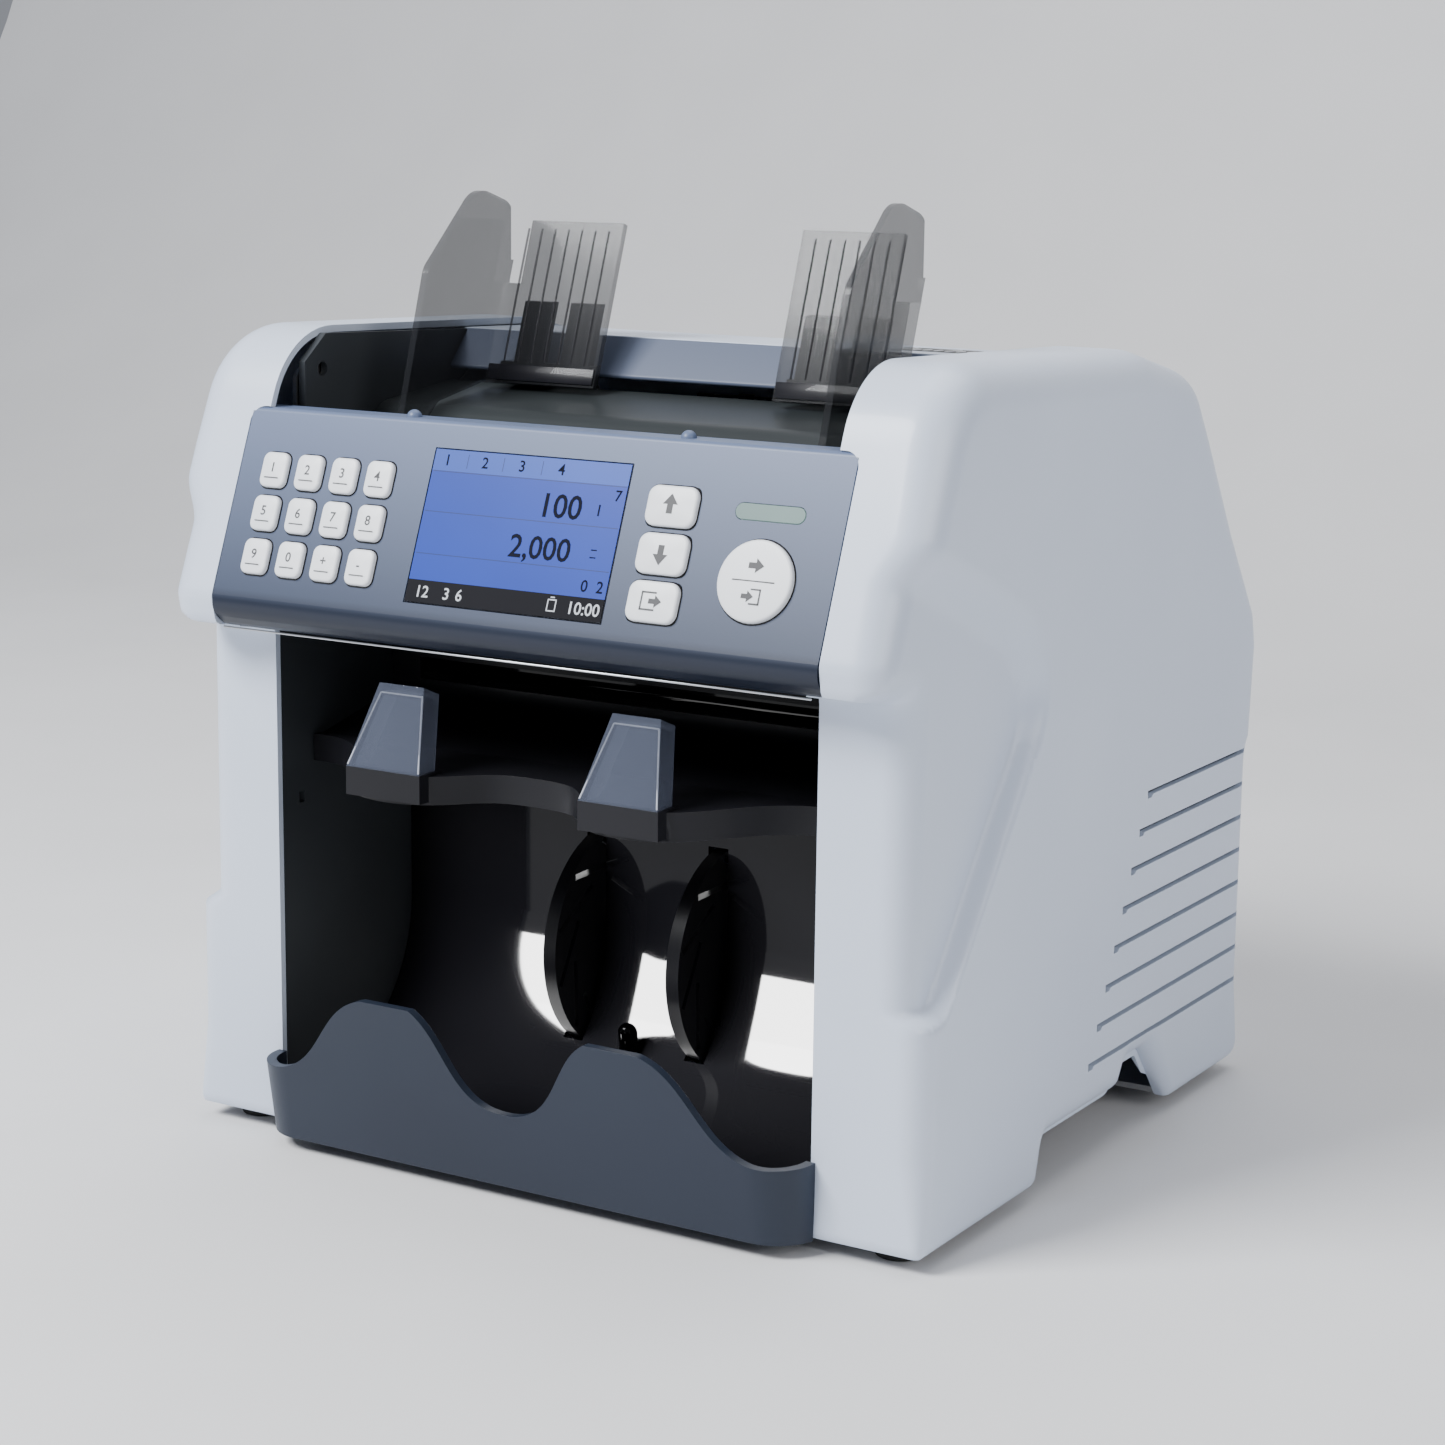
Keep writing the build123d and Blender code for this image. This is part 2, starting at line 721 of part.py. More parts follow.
ceiling_z = opening_z + 0.5
pocket_rear_y = face_y + 64
reject_floor_z = opening_z - 31
tray_front = (face_y + 23.3, opening_z - 40.5)
bar_back_y = face_y + 23
bar_low_z = opening_z - 49
bar_height = 9.5
bar_skin = 2.5
bar_half = opening_half - 0.5
stopper_x = 45.8
stopper_base = 30
stopper_top = 18
stopper_front_y = face_y - 20
stopper_low_z = opening_z - 38.5
stopper_height = 29
stopper_depth = 9
stopper_lean = 22
bar_front = [
    (bar_half, face_y + 19),
    (stopper_x + 32, face_y + 6),
    (stopper_x + stopper_base / 2, stopper_front_y + 5),
    (stopper_x - stopper_base / 2, stopper_front_y + 5),
    (stopper_x - 30, face_y - 1),
    (0, face_y + 2),
]

with BuildPart() as reject_tray:
    tray_path = [
        (face_y + 4, ceiling_z),
        (pocket_rear_y, ceiling_z),
        (pocket_rear_y + 2, reject_floor_z),
        tray_front,
    ]
    bent_sheet(tray_path, [5, 6], 2, -inner_half, inner_half)
    block(
        (-opening_half + 12, pocket_rear_y - 2, reject_floor_z + 5),
        (opening_half - 12, pocket_rear_y + 6, reject_floor_z + 13),
        Mode.SUBTRACT,
    )
save(reject_tray, "reject_tray")

with BuildPart() as reject_bar:
    with BuildSketch(Plane.XY.offset(bar_low_z)) as bar_plan:
        with BuildLine():
            front = bar_front + [(-x, y) for x, y in reversed(bar_front[:-1])]
            Spline(*front)
            Polyline(front[-1], (-bar_half, bar_back_y), (bar_half, bar_back_y), front[0])
        make_face()
    extrude(amount=bar_height)
    with BuildSketch(Plane.XY.offset(bar_low_z - 1)) as hollow:
        with Locations((0, bar_skin)):
            add(bar_plan.sketch_local)
        with Locations((0, bar_back_y)):
            Rectangle(width, 2 * bar_skin, mode=Mode.SUBTRACT)
        hollow_half = bar_half - bar_skin
        with Locations((-hollow_half - 10, face_y), (hollow_half + 10, face_y)):
            Rectangle(20, 200, mode=Mode.SUBTRACT)
    extrude(hollow.sketch, amount=bar_height - 1.5, mode=Mode.SUBTRACT)
    for side in (-1, 1):
        low = (side * stopper_x - stopper_base / 2, stopper_front_y, bar_low_z + 1)
        high = (side * stopper_x + stopper_base / 2, stopper_front_y + stopper_depth + 3, stopper_low_z)
        block(low, high)
save(reject_bar, "reject_bar")

stopper_plane = Plane(
    origin=(0, stopper_front_y, stopper_low_z),
    x_dir=(1, 0, 0),
    z_dir=(0, -cos(radians(stopper_lean)), sin(radians(stopper_lean))),
)
with BuildPart() as reject_windows:
    for start, length, inset, mode in ((0, stopper_depth, 0, Mode.ADD), (1.8, 20, 1.8, Mode.SUBTRACT)):
        half_low = stopper_base / 2 - inset
        half_high = stopper_top / 2 - inset
        high = stopper_height - inset
        with BuildSketch(stopper_plane.offset(-start)) as faces:
            for x in (-stopper_x, stopper_x):
                with BuildLine():
                    Polyline(
                        (x - half_low, inset - 1),
                        (x + half_low, inset - 1),
                        (x + half_high, high),
                        (x - half_high, high),
                        close=True,
                    )
                make_face()
        extrude(faces.sketch, amount=-length, mode=mode)
    block((-half_width, front_y - 20, 0), (half_width, face_y + 20, stopper_low_z), Mode.SUBTRACT)
save(reject_windows, "reject_windows")

# ---- Stacker pocket -----------------------------------------------------------------------------

stacker_rear_y = stacker_at[0] - 10.5
stacker_bend = 58
stacker_floor_z = base_z + 9
lip_half = opening_half + 1.6
lip_wall = 3.5
lip_corner = 16
lip_foot_y = front_y + 10
lip_end_z = base_z + 26
lip_valley_z = base_z + 26.5
lip_peak_z = base_z + 57.5
lip_peak_x = 44.5
lip_flat = 10
lip_lean = (front_y - lip_foot_y) / (lip_peak_z - base_z)

with BuildPart() as stacker_back:
    back_path = [
        (stacker_rear_y, opening_z - 56),
        (stacker_rear_y, stacker_floor_z),
        (lip_foot_y + lip_wall + 1, stacker_floor_z),
    ]
    bent_sheet(back_path, stacker_bend, 2, -inner_half, inner_half)
    both_sides(
        (lip_half - lip_wall - part_gap, front_y, 0),
        (half_width, tray_front_y - part_gap, 60),
        Mode.SUBTRACT,
    )
    both_sides(
        (lip_half - lip_corner - 1, front_y, 0),
        (half_width, lip_foot_y + lip_corner + 1, 60),
        Mode.SUBTRACT,
    )
    for x in (-impeller_x, impeller_x):
        half_slot = impeller_thickness / 2 + 1.5
        rod(stacker_at, impeller_radius + 1.5, x - half_slot, x + half_slot, Mode.SUBTRACT)
save(stacker_back, "stacker_back")

with BuildPart() as stacker_lip:
    with BuildSketch(Plane.XY.offset(base_z)) as lip_plan:
        with Locations((0, lip_foot_y + 30)):
            RectangleRounded(2 * lip_half, 60, lip_corner)
    extrude(lip_plan.sketch, amount=lip_peak_z - base_z + 8, dir=(0, lip_lean, 1))
    with BuildSketch(Plane.XY.offset(base_z)) as lip_hollow:
        with Locations((0, lip_foot_y + 30 + lip_wall)):
            RectangleRounded(2 * (lip_half - lip_wall), 60, lip_corner - lip_wall)
    extrude(lip_hollow.sketch, amount=lip_peak_z - base_z + 8, dir=(0, lip_lean, 1), mode=Mode.SUBTRACT)
    block((-half_width, face_y, 0), (half_width, face_y + 80, crest_z), Mode.SUBTRACT)
    with BuildSketch(Plane.XZ.offset(-face_y)) as above_wave:
        with BuildLine():
            flat_out = lip_peak_x + lip_flat
            flat_in = lip_peak_x - lip_flat
            top_z = crest_z
            for side in (-1, 1):
                Spline(
                    (side * (lip_half - 8), lip_end_z),
                    (side * flat_out, lip_peak_z),
                    tangents=[(-side, 0.0), (-side, 0.25)],
                )
                Line((side * flat_out, lip_peak_z), (side * flat_in, lip_peak_z))
                Spline(
                    (side * flat_in, lip_peak_z),
                    (0, lip_valley_z),
                    tangents=[(-side, -0.6), (-side, 0)],
                )
                Line((side * (lip_half - 8), lip_end_z), (side * half_width, lip_end_z))
                Line((side * half_width, lip_end_z), (side * half_width, top_z))
            Line((-half_width, top_z), (half_width, top_z))
        make_face()
    extrude(above_wave.sketch, amount=80, mode=Mode.SUBTRACT)
    block(
        (-lip_half + lip_corner, lip_foot_y + 1, base_z),
        (lip_half - lip_corner, tray_front_y - part_gap, base_z + 2.5),
    )
save(stacker_lip, "stacker_lip")

# ---- Note transport -----------------------------------------------------------------------------

guide_plate = 1.5
path_gap = 1.5
outer_bend = drum_radius + path_gap
inner_half_gap = 3.5
drum_places = (-70, -35, 0, 35, 70)
transport_front_y = face_y + 54
diverter_width = 6

with BuildPart() as note_guides:
    outer_low_z = drum_at[1] - outer_bend
    outer_high_z = drum_at[1] + outer_bend
    rear_bend_y = drum_at[0] + outer_bend
    outer_path = [
        (transport_front_y, outer_high_z),
        (rear_bend_y, outer_high_z),
        (rear_bend_y, outer_low_z),
        (diverter_at[0] + 10, outer_low_z),
    ]
    bent_sheet(outer_path, outer_bend - 0.1, guide_plate, -inner_half, inner_half)
    inner_path = [
        (drum_at[0] - 32, outer_high_z - inner_half_gap),
        (face_y + 72, outer_high_z - inner_half_gap),
        (face_y + 72, drum_at[1] - 4),
        (diverter_at[0] - 6, outer_low_z + inner_half_gap + 3),
        (drum_at[0] - 32, outer_low_z + inner_half_gap),
    ]
    bent_sheet(inner_path, [8, 6, 2], guide_plate, -inner_half, inner_half)
save(note_guides, "note_guides")

sensor_size = (190, 16, 11)
with BuildPart() as image_sensors:
    sensor_y = face_y + 130
    high_sensor = outer_high_z + guide_plate + sensor_size[2] / 2
    low_sensor = outer_high_z - inner_half_gap - guide_plate - sensor_size[2] / 2
    with Locations((0, sensor_y, high_sensor), (0, sensor_y, low_sensor)):
        Box(*sensor_size)
save(image_sensors, "image_sensors")

with BuildPart() as kicker_shaft:
    shaft(kicker_at, -plate_outer_x - 3, belt_x + belt_width + 3)
    rollers(kicker_at, kicker_radius, kicker_places)
save(kicker_shaft, "kicker_shaft")

with BuildPart() as feed_shaft:
    shaft(feed_at, -plate_outer_x - 3, belt_x + belt_width + 3)
    rollers(feed_at, feed_radius, feed_places)
save(feed_shaft, "feed_shaft")

with BuildPart() as drum_shaft:
    shaft(drum_at, -plate_outer_x - 3, gear_x + gear_width, pulley=False)
    rollers(drum_at, drum_radius, drum_places)
    mesh_turn = atan(motor_drop / (motor_at[0] - drum_at[0]))
    gear(drum_at, drum_teeth, gear_x, gear_x + gear_width, turn=-mesh_turn + pi / drum_teeth)
save(drum_shaft, "drum_shaft")

with BuildPart() as stacker_shaft:
    shaft(stacker_at, -plate_outer_x - 3, belt_x + belt_width + 3)
    for x in (-impeller_x, impeller_x):
        low_x = x - impeller_thickness / 2
        rod(stacker_at, impeller_radius, low_x, low_x + impeller_thickness)
        with BuildSketch(Plane.YZ.offset(low_x - 1)) as slots:
            with Locations(stacker_at):
                with PolarLocations(impeller_radius - 9, 12):
                    Rectangle(24, 2.2, rotation=62)
        extrude(slots.sketch, amount=impeller_thickness + 2, mode=Mode.SUBTRACT)
        rod(stacker_at, hub_radius, low_x - 3, low_x + impeller_thickness + 3)
save(stacker_shaft, "stacker_shaft")

with BuildPart() as diverter:
    rod(diverter_at, shaft_radius, -plate_outer_x - 3, plate_outer_x + 3)
    for x in (-70, -46, -12, 12, 46, 70):
        finger = [
            (diverter_at[0] - 2, diverter_at[1] - shaft_radius + 1),
            (diverter_at[0] + 14, diverter_at[1] - 3.2),
            (diverter_at[0] + 14, diverter_at[1] - 2.2),
            (diverter_at[0] - 2, diverter_at[1] + shaft_radius - 1),
        ]
        profile(finger, x - diverter_width / 2, x + diverter_width / 2)
save(diverter, "diverter")

# ---- Drive --------------------------------------------------------------------------------------

motor_length = 36
pulley_centres = (kicker_at, feed_at, stacker_at, motor_at)

with BuildPart() as drive_motor:
    rod(motor_at, motor_radius, plate_x - motor_length, plate_x)
    rod(motor_at, shaft_radius - 1, plate_x - motor_length - 4, plate_x - motor_length)
    rod(motor_at, shaft_radius + fit_gap, plate_x - 12, plate_x + 1, Mode.SUBTRACT)
save(drive_motor, "drive_motor")

with BuildPart() as motor_shaft:
    shaft(motor_at, plate_x - 11.5, belt_x + belt_width + 3)
    gear(motor_at, motor_teeth, gear_x, gear_x + gear_width, turn=pi - mesh_turn)
save(motor_shaft, "motor_shaft")

with BuildPart() as drive_belt:
    for grow, mode in ((belt_thickness, Mode.ADD), (0, Mode.SUBTRACT)):
        with BuildSketch(Plane.YZ.offset(belt_x)) as loop:
            with Locations(*pulley_centres):
                Circle(pulley_radius + part_gap + grow)
            make_hull()
        extrude(loop.sketch, amount=belt_width, mode=mode)
save(drive_belt, "drive_belt")

# ---- Top strip, rear door and rear panel --------------------------------------------------------

panel_wall = 2.5
strip_front_y = rear_wall_top[0] + 1
strip_rear_y = rear_y - 108
strip_z = crest_z - 5.5
door_half = return_x - seam
rear_panel_top_z = crest_z - 162.5
rear_panel_y = rear_low_y - panel_wall
socket_at = (-72, base_z + 32)
socket_size = (27, 20)
switch_at = (-72, base_z + 62)
switch_size = (13, 19)
switch_gap = 0.4

with BuildPart() as top_strip:
    strip = [
        (strip_front_y, strip_z),
        (strip_rear_y, strip_z - 1.5),
        (strip_rear_y, strip_z - 4.5),
        (strip_front_y + 1, strip_z - 3),
    ]
    profile(strip, -door_half, door_half)
save(top_strip, "top_strip")

with BuildPart() as rear_door:
    door_path = [
        (rear_y - 3.5, hinge_at[1] - 3.5),
        (rear_y - 1.5, crest_z - 118),
        (rear_y - 5, crest_z - 105),
        (rear_y - 29.5, crest_z - 71.5),
        (rear_y - 66.5, crest_z - 16.5),
        (strip_rear_y + seam + 0.8, strip_z - 1.7),
    ]
    bent_sheet(door_path, [5, 8, 10, 14], panel_wall, -door_half, door_half)
    arm = [
        (hinge_at[0] - 3.5, hinge_at[1] - 3),
        (rear_y - 5, hinge_at[1] - 3),
        (rear_y - 5, hinge_at[1] + 10),
        (hinge_at[0] - 3.5, hinge_at[1] + 3),
    ]
    for side in (-1, 1):
        near = side * (plate_x - 1)
        far = side * (plate_x - 5)
        profile(arm, min(near, far), max(near, far))
        rod(hinge_at, hinge_pin_radius, min(far, side * plate_outer_x), max(far, side * plate_outer_x))
save(rear_door, "rear_door")

with BuildPart() as rear_panel:
    block((-door_half, rear_panel_y, tray_top_z), (door_half, rear_low_y, rear_panel_top_z))
    hole_x = socket_size[0] / 2 + part_gap
    hole_z = socket_size[1] / 2 + part_gap
    block(
        (socket_at[0] - hole_x, rear_panel_y - 1, socket_at[1] - hole_z),
        (socket_at[0] + hole_x, rear_low_y + 1, socket_at[1] + hole_z),
        Mode.SUBTRACT,
    )
    slot_x = switch_size[0] / 2 + switch_gap
    slot_z = switch_size[1] / 2 + 2
    block(
        (switch_at[0] - slot_x, rear_panel_y - 1, switch_at[1] - slot_z),
        (switch_at[0] + slot_x, rear_low_y + 1, switch_at[1] + slot_z),
        Mode.SUBTRACT,
    )
    for n in range(6):
        low_z = base_z + 24 + 9 * n
        block((-20, rear_panel_y - 1, low_z), (84, rear_low_y + 1, low_z + 3), Mode.SUBTRACT)
save(rear_panel, "rear_panel")

with BuildPart() as mains_inlet:
    half_x, half_z = socket_size[0] / 2, socket_size[1] / 2
    block(
        (socket_at[0] - half_x, rear_panel_y - 18, socket_at[1] - half_z),
        (socket_at[0] + half_x, rear_low_y, socket_at[1] + half_z),
    )
    block(
        (socket_at[0] - half_x - 3, rear_low_y, socket_at[1] - half_z - 3),
        (socket_at[0] + half_x + 3, rear_low_y + 2, socket_at[1] + half_z + 3),
    )
    block(
        (socket_at[0] - half_x + 1.5, rear_low_y - 15, socket_at[1] - half_z + 1.5),
        (socket_at[0] + half_x - 1.5, rear_low_y + 3, socket_at[1] + half_z - 1.5),
        Mode.SUBTRACT,
    )
    for across, up in ((-7, -2), (0, 2), (7, -2)):
        x, z = socket_at[0] + across, socket_at[1] + up
        block((x - 1, rear_low_y - 16, z - 2), (x + 1, rear_low_y - 3, z + 2))
save(mains_inlet, "mains_inlet")

with BuildPart() as power_switch:
    switch_y = rear_low_y - 1
    rocker = [
        (switch_y - 3, switch_at[1]),
        (switch_y + 0.5, switch_at[1] - switch_size[1] / 2),
        (switch_y + 1, switch_at[1]),
        (switch_y + 3, switch_at[1] + switch_size[1] / 2),
    ]
    profile(rocker, switch_at[0] - switch_size[0] / 2, switch_at[0] + switch_size[0] / 2)
save(power_switch, "power_switch")

with BuildPart() as main_board:
    board_y = rear_panel_y - 13
    block((-46, board_y, base_z + 60), (96, board_y + 1.6, base_z + 108))
    for x, length in ((-34, 15), (-8, 13), (14, 16), (40, 12)):
        block((x, board_y - 7, base_z + 78), (x + length, board_y, base_z + 92))
save(main_board, "main_board")

with BuildPart() as power_supply:
    block((-44, rear_panel_y - 50, tray_top_z + 2), (94, rear_panel_y - 6, tray_top_z + 46))
    for x in (-36, 86):
        for y in (rear_panel_y - 44, rear_panel_y - 12):
            with Locations((x, y, tray_top_z)):
                Cylinder(2.5, 3, align=(Align.CENTER, Align.CENTER, Align.MIN))
save(power_supply, "power_supply")
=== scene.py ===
# %% [markdown]
# A two-pocket banknote counter
# =============================
# The machine is a white plastic housing round a black paper path. Its working parts are already exact:
# they come from the CAD frame and stay where it puts them. This lesson adds what makes them look real:
# soft moulded edges, smoked plastic, printed keys, a lit display and studio light.
# The first cell loads the frame.

import math

import bmesh
import bpy
import numpy as np
from mathutils import Matrix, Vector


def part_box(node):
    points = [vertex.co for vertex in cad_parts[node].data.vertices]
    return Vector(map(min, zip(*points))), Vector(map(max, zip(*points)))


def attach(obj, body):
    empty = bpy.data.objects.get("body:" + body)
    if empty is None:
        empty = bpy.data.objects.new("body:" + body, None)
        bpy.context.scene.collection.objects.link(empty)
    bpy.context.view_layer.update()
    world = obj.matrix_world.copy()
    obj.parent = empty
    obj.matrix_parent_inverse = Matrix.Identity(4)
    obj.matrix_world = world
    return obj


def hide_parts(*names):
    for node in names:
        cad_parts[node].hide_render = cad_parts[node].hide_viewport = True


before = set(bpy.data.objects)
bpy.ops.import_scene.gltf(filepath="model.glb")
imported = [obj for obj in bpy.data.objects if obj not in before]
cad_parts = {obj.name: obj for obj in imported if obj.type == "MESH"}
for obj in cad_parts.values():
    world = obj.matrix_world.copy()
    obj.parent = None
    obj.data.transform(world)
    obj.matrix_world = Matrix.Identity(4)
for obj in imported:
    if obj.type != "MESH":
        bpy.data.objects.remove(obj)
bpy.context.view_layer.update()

# %% [markdown]
# Measures
# --------
# All measures are in millimetres. The outer ones are read from the CAD boxes. The others, such as the
# plane of the front face or the places of keys, have no box of their own and are written as numbers
# that fit this frame, so they need new values if the CAD model changes.
# The control panel leans back by a fixed angle. Its plane gives the keys and the screen their places.

# %% Measures taken from the frame
MM = 0.001


def box_mm(node):
    """Lowest and highest corner of a CAD node, in millimetres."""
    low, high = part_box(node)
    return np.array(low) / MM, np.array(high) / MM


cover_low, cover_high = box_mm("side_cover_right")
panel_low, panel_high = box_mm("fascia")
strip_low, strip_high = box_mm("top_strip")
HALF = cover_high[0]
BASE = cover_low[2]
CREST = cover_high[2]
REAR = cover_high[1]
FACE = -122.0
OPENING = 180.0
PANEL_HALF = panel_high[0]
PANEL_TILT = math.radians(21)
PANEL_TOP = np.array([0.0, -118.4, panel_high[2]])
print("cover", cover_low, cover_high, "face plane", FACE)


def panel_point(across, down, out=0.0):
    """Points on the panel: across it, down from its top edge and out of its face. Arrays work too."""
    across, down, out = np.broadcast_arrays(across, down, out)
    y = PANEL_TOP[1] - down * math.sin(PANEL_TILT) - out * math.cos(PANEL_TILT)
    z = PANEL_TOP[2] - down * math.cos(PANEL_TILT) + out * math.sin(PANEL_TILT)
    return np.stack([across, y, z], axis=-1)


# %% [markdown]
# Helpers that turn arrays into meshes
# ------------------------------------
# Most new pieces here are grids: a shape is a function of two parameters, worked out for all points
# at once. One helper joins neighbouring points into four-sided faces, and another softens a copy of a
# CAD part: its loose triangles are welded and a small bevel rounds every edge, as a mould would.

# %% Mesh helpers
def mesh_object(name, verts, faces, smooth=True):
    """A mesh object from points in millimetres and lists of corner numbers."""
    mesh = bpy.data.meshes.new(name)
    mesh.from_pydata((np.asarray(verts) * MM).tolist(), [], faces)
    mesh.polygons.foreach_set("use_smooth", [smooth] * len(mesh.polygons))
    mesh.update()
    piece = bpy.data.objects.new(name, mesh)
    bpy.context.scene.collection.objects.link(piece)
    return piece


def grid_faces(rows, cols, closed=False, flip=False):
    """Corner numbers of a rows x cols grid. Closed joins the last column to the first."""
    numbers = np.arange(rows * cols).reshape(rows, cols)
    right = np.roll(numbers, -1, axis=1)
    span = slice(None) if closed else slice(0, cols - 1)
    quads = np.stack(
        [numbers[:-1, span], right[:-1, span], right[1:, span], numbers[1:, span]], axis=-1
    ).reshape(-1, 4)
    if flip:
        quads = quads[:, ::-1]
    return quads.tolist()


def grid_object(name, points, closed=False, flip=False, smooth=True):
    """A surface from an array of points (rows, columns, 3)."""
    rows, cols = points.shape[:2]
    return mesh_object(name, points.reshape(-1, 3), grid_faces(rows, cols, closed, flip), smooth)


def weld(piece, distance=0.01, outwards=True):
    """Merges points that share a place. On a closed shape it also turns every face outwards."""
    sheet = bmesh.new()
    sheet.from_mesh(piece.data)
    bmesh.ops.remove_doubles(sheet, verts=sheet.verts, dist=distance * MM)
    bmesh.ops.dissolve_degenerate(sheet, edges=sheet.edges, dist=distance * MM)
    if outwards:
        bmesh.ops.recalc_face_normals(sheet, faces=sheet.faces)
    sheet.to_mesh(piece.data)
    sheet.free()
    return piece


def bevel(piece, size, segments=2, angle=30):
    """Rounds the edges that turn more than an angle."""
    rounding = piece.modifiers.new("rounding", "BEVEL")
    rounding.width = size * MM
    rounding.segments = segments
    rounding.limit_method = "ANGLE"
    rounding.angle_limit = math.radians(angle)
    rounding.harden_normals = False
    return piece


def thicken(piece, thickness, offset=-1.0):
    """Gives a sheet its wall."""
    wall = piece.modifiers.new("wall", "SOLIDIFY")
    wall.thickness = thickness * MM
    wall.offset = offset
    return piece


def soft_copy(node, size, segments=2, angle=30):
    """A welded copy of a CAD part with rounded edges, which stands for it."""
    piece = bpy.data.objects.new(node + "_moulded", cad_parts[node].data.copy())
    bpy.context.scene.collection.objects.link(piece)
    weld(piece)
    shade_by_angle(piece)
    bevel(piece, size, segments, angle)
    return piece


def shade_by_angle(piece, angle=30):
    """Smooth shading, with sharp edges kept where the faces turn more than an angle."""
    piece.data.polygons.foreach_set("use_smooth", [True] * len(piece.data.polygons))
    sheet = bmesh.new()
    sheet.from_mesh(piece.data)
    limit = math.radians(angle)
    for edge in sheet.edges:
        edge.smooth = len(edge.link_faces) == 2 and edge.calc_face_angle(0.0) < limit
    sheet.to_mesh(piece.data)
    sheet.free()
    return piece


def finish_piece(piece, material, body="chassis", stands_for=()):
    """Paints a piece, lets it ride on its body and hides the CAD nodes that it stands for."""
    piece.data.materials.clear()
    piece.data.materials.append(material)
    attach(piece, body)
    if stands_for:
        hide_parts(*stands_for)
    return piece


# %% [markdown]
# Materials
# ---------
# Moulded plastic is never one flat colour: a fine grain breaks the shine, and the tone drifts a little
# over a large part. One function makes such a plastic: two noise textures on Object coordinates drive a
# slight colour change and a bump, while roughness and the rest are set on the shader itself.

# %% Material helpers
def new_material(name):
    """An empty node material, its shader and its node tree."""
    material = bpy.data.materials.new(name)
    material.use_nodes = True
    tree = material.node_tree
    shader = tree.nodes["Principled BSDF"]
    return material, tree, shader


def noise(tree, scale, detail=2.0):
    """A noise texture on Object coordinates. Scale is in waves per metre."""
    place = tree.nodes.new("ShaderNodeTexCoord")
    texture = tree.nodes.new("ShaderNodeTexNoise")
    texture.inputs["Scale"].default_value = scale
    texture.inputs["Detail"].default_value = detail
    tree.links.new(place.outputs["Object"], texture.inputs["Vector"])
    return texture


def grain_bump(tree, shader, scale, strength, distance=0.0002):
    """A fine bump, like the spark-eroded skin of a mould."""
    texture = noise(tree, scale, 3.0)
    bump = tree.nodes.new("ShaderNodeBump")
    bump.inputs["Strength"].default_value = strength
    bump.inputs["Distance"].default_value = distance
    tree.links.new(texture.outputs["Fac"], bump.inputs["Height"])
    tree.links.new(bump.outputs["Normal"], shader.inputs["Normal"])


def drift(tree, shader, low, high, scale=9.0):
    """A slow drift between two near colours over the part."""
    texture = noise(tree, scale)
    ramp = tree.nodes.new("ShaderNodeValToRGB")
    ramp.color_ramp.elements[0].position = 0.35
    ramp.color_ramp.elements[0].color = (*low, 1)
    ramp.color_ramp.elements[1].position = 0.65
    ramp.color_ramp.elements[1].color = (*high, 1)
    tree.links.new(texture.outputs["Fac"], ramp.inputs["Fac"])
    tree.links.new(ramp.outputs["Color"], shader.inputs["Base Color"])


def plastic(name, low, high, roughness, grain=900.0, bump=0.08, coat=0.0, specular=0.5):
    """Moulded plastic between two near tones."""
    material, tree, shader = new_material(name)
    drift(tree, shader, low, high)
    grain_bump(tree, shader, grain, bump)
    shader.inputs["Roughness"].default_value = roughness
    shader.inputs["Coat Weight"].default_value = coat
    shader.inputs["Coat Roughness"].default_value = 0.12
    shader.inputs["Specular IOR Level"].default_value = specular
    return material


def metal(name, low, high, roughness, grain=300.0, bump=0.15):
    """Bare or plated metal with a faint brushed tone."""
    material, tree, shader = new_material(name)
    drift(tree, shader, low, high, 40.0)
    grain_bump(tree, shader, grain, bump, 0.0001)
    shader.inputs["Metallic"].default_value = 1.0
    shader.inputs["Roughness"].default_value = roughness
    return material


def smoked(name, tint, roughness=0.06, alpha=0.4, specular=0.5):
    """Clear smoked plastic: a dark tint that lets light through, with a polished skin."""
    material, tree, shader = new_material(name)
    drift(tree, shader, tint, tuple(1.15 * c for c in tint), 20.0)
    grain_bump(tree, shader, 60.0, 0.004)
    shader.inputs["Roughness"].default_value = roughness
    shader.inputs["IOR"].default_value = 1.45
    shader.inputs["Alpha"].default_value = alpha
    shader.inputs["Specular IOR Level"].default_value = specular
    shader.inputs["Coat Weight"].default_value = 0.15
    shader.inputs["Coat Roughness"].default_value = 0.05
    return material


def glow(name, colour, strength, roughness=0.3):
    """A surface that is lit from behind, such as a display."""
    material, tree, shader = new_material(name)
    drift(tree, shader, tuple(0.25 * c for c in colour), tuple(0.3 * c for c in colour), 30.0)
    shader.inputs["Roughness"].default_value = roughness
    shader.inputs["Specular IOR Level"].default_value = 0.2
    shader.inputs["Emission Color"].default_value = (*colour, 1)
    shader.inputs["Emission Strength"].default_value = strength
    return material


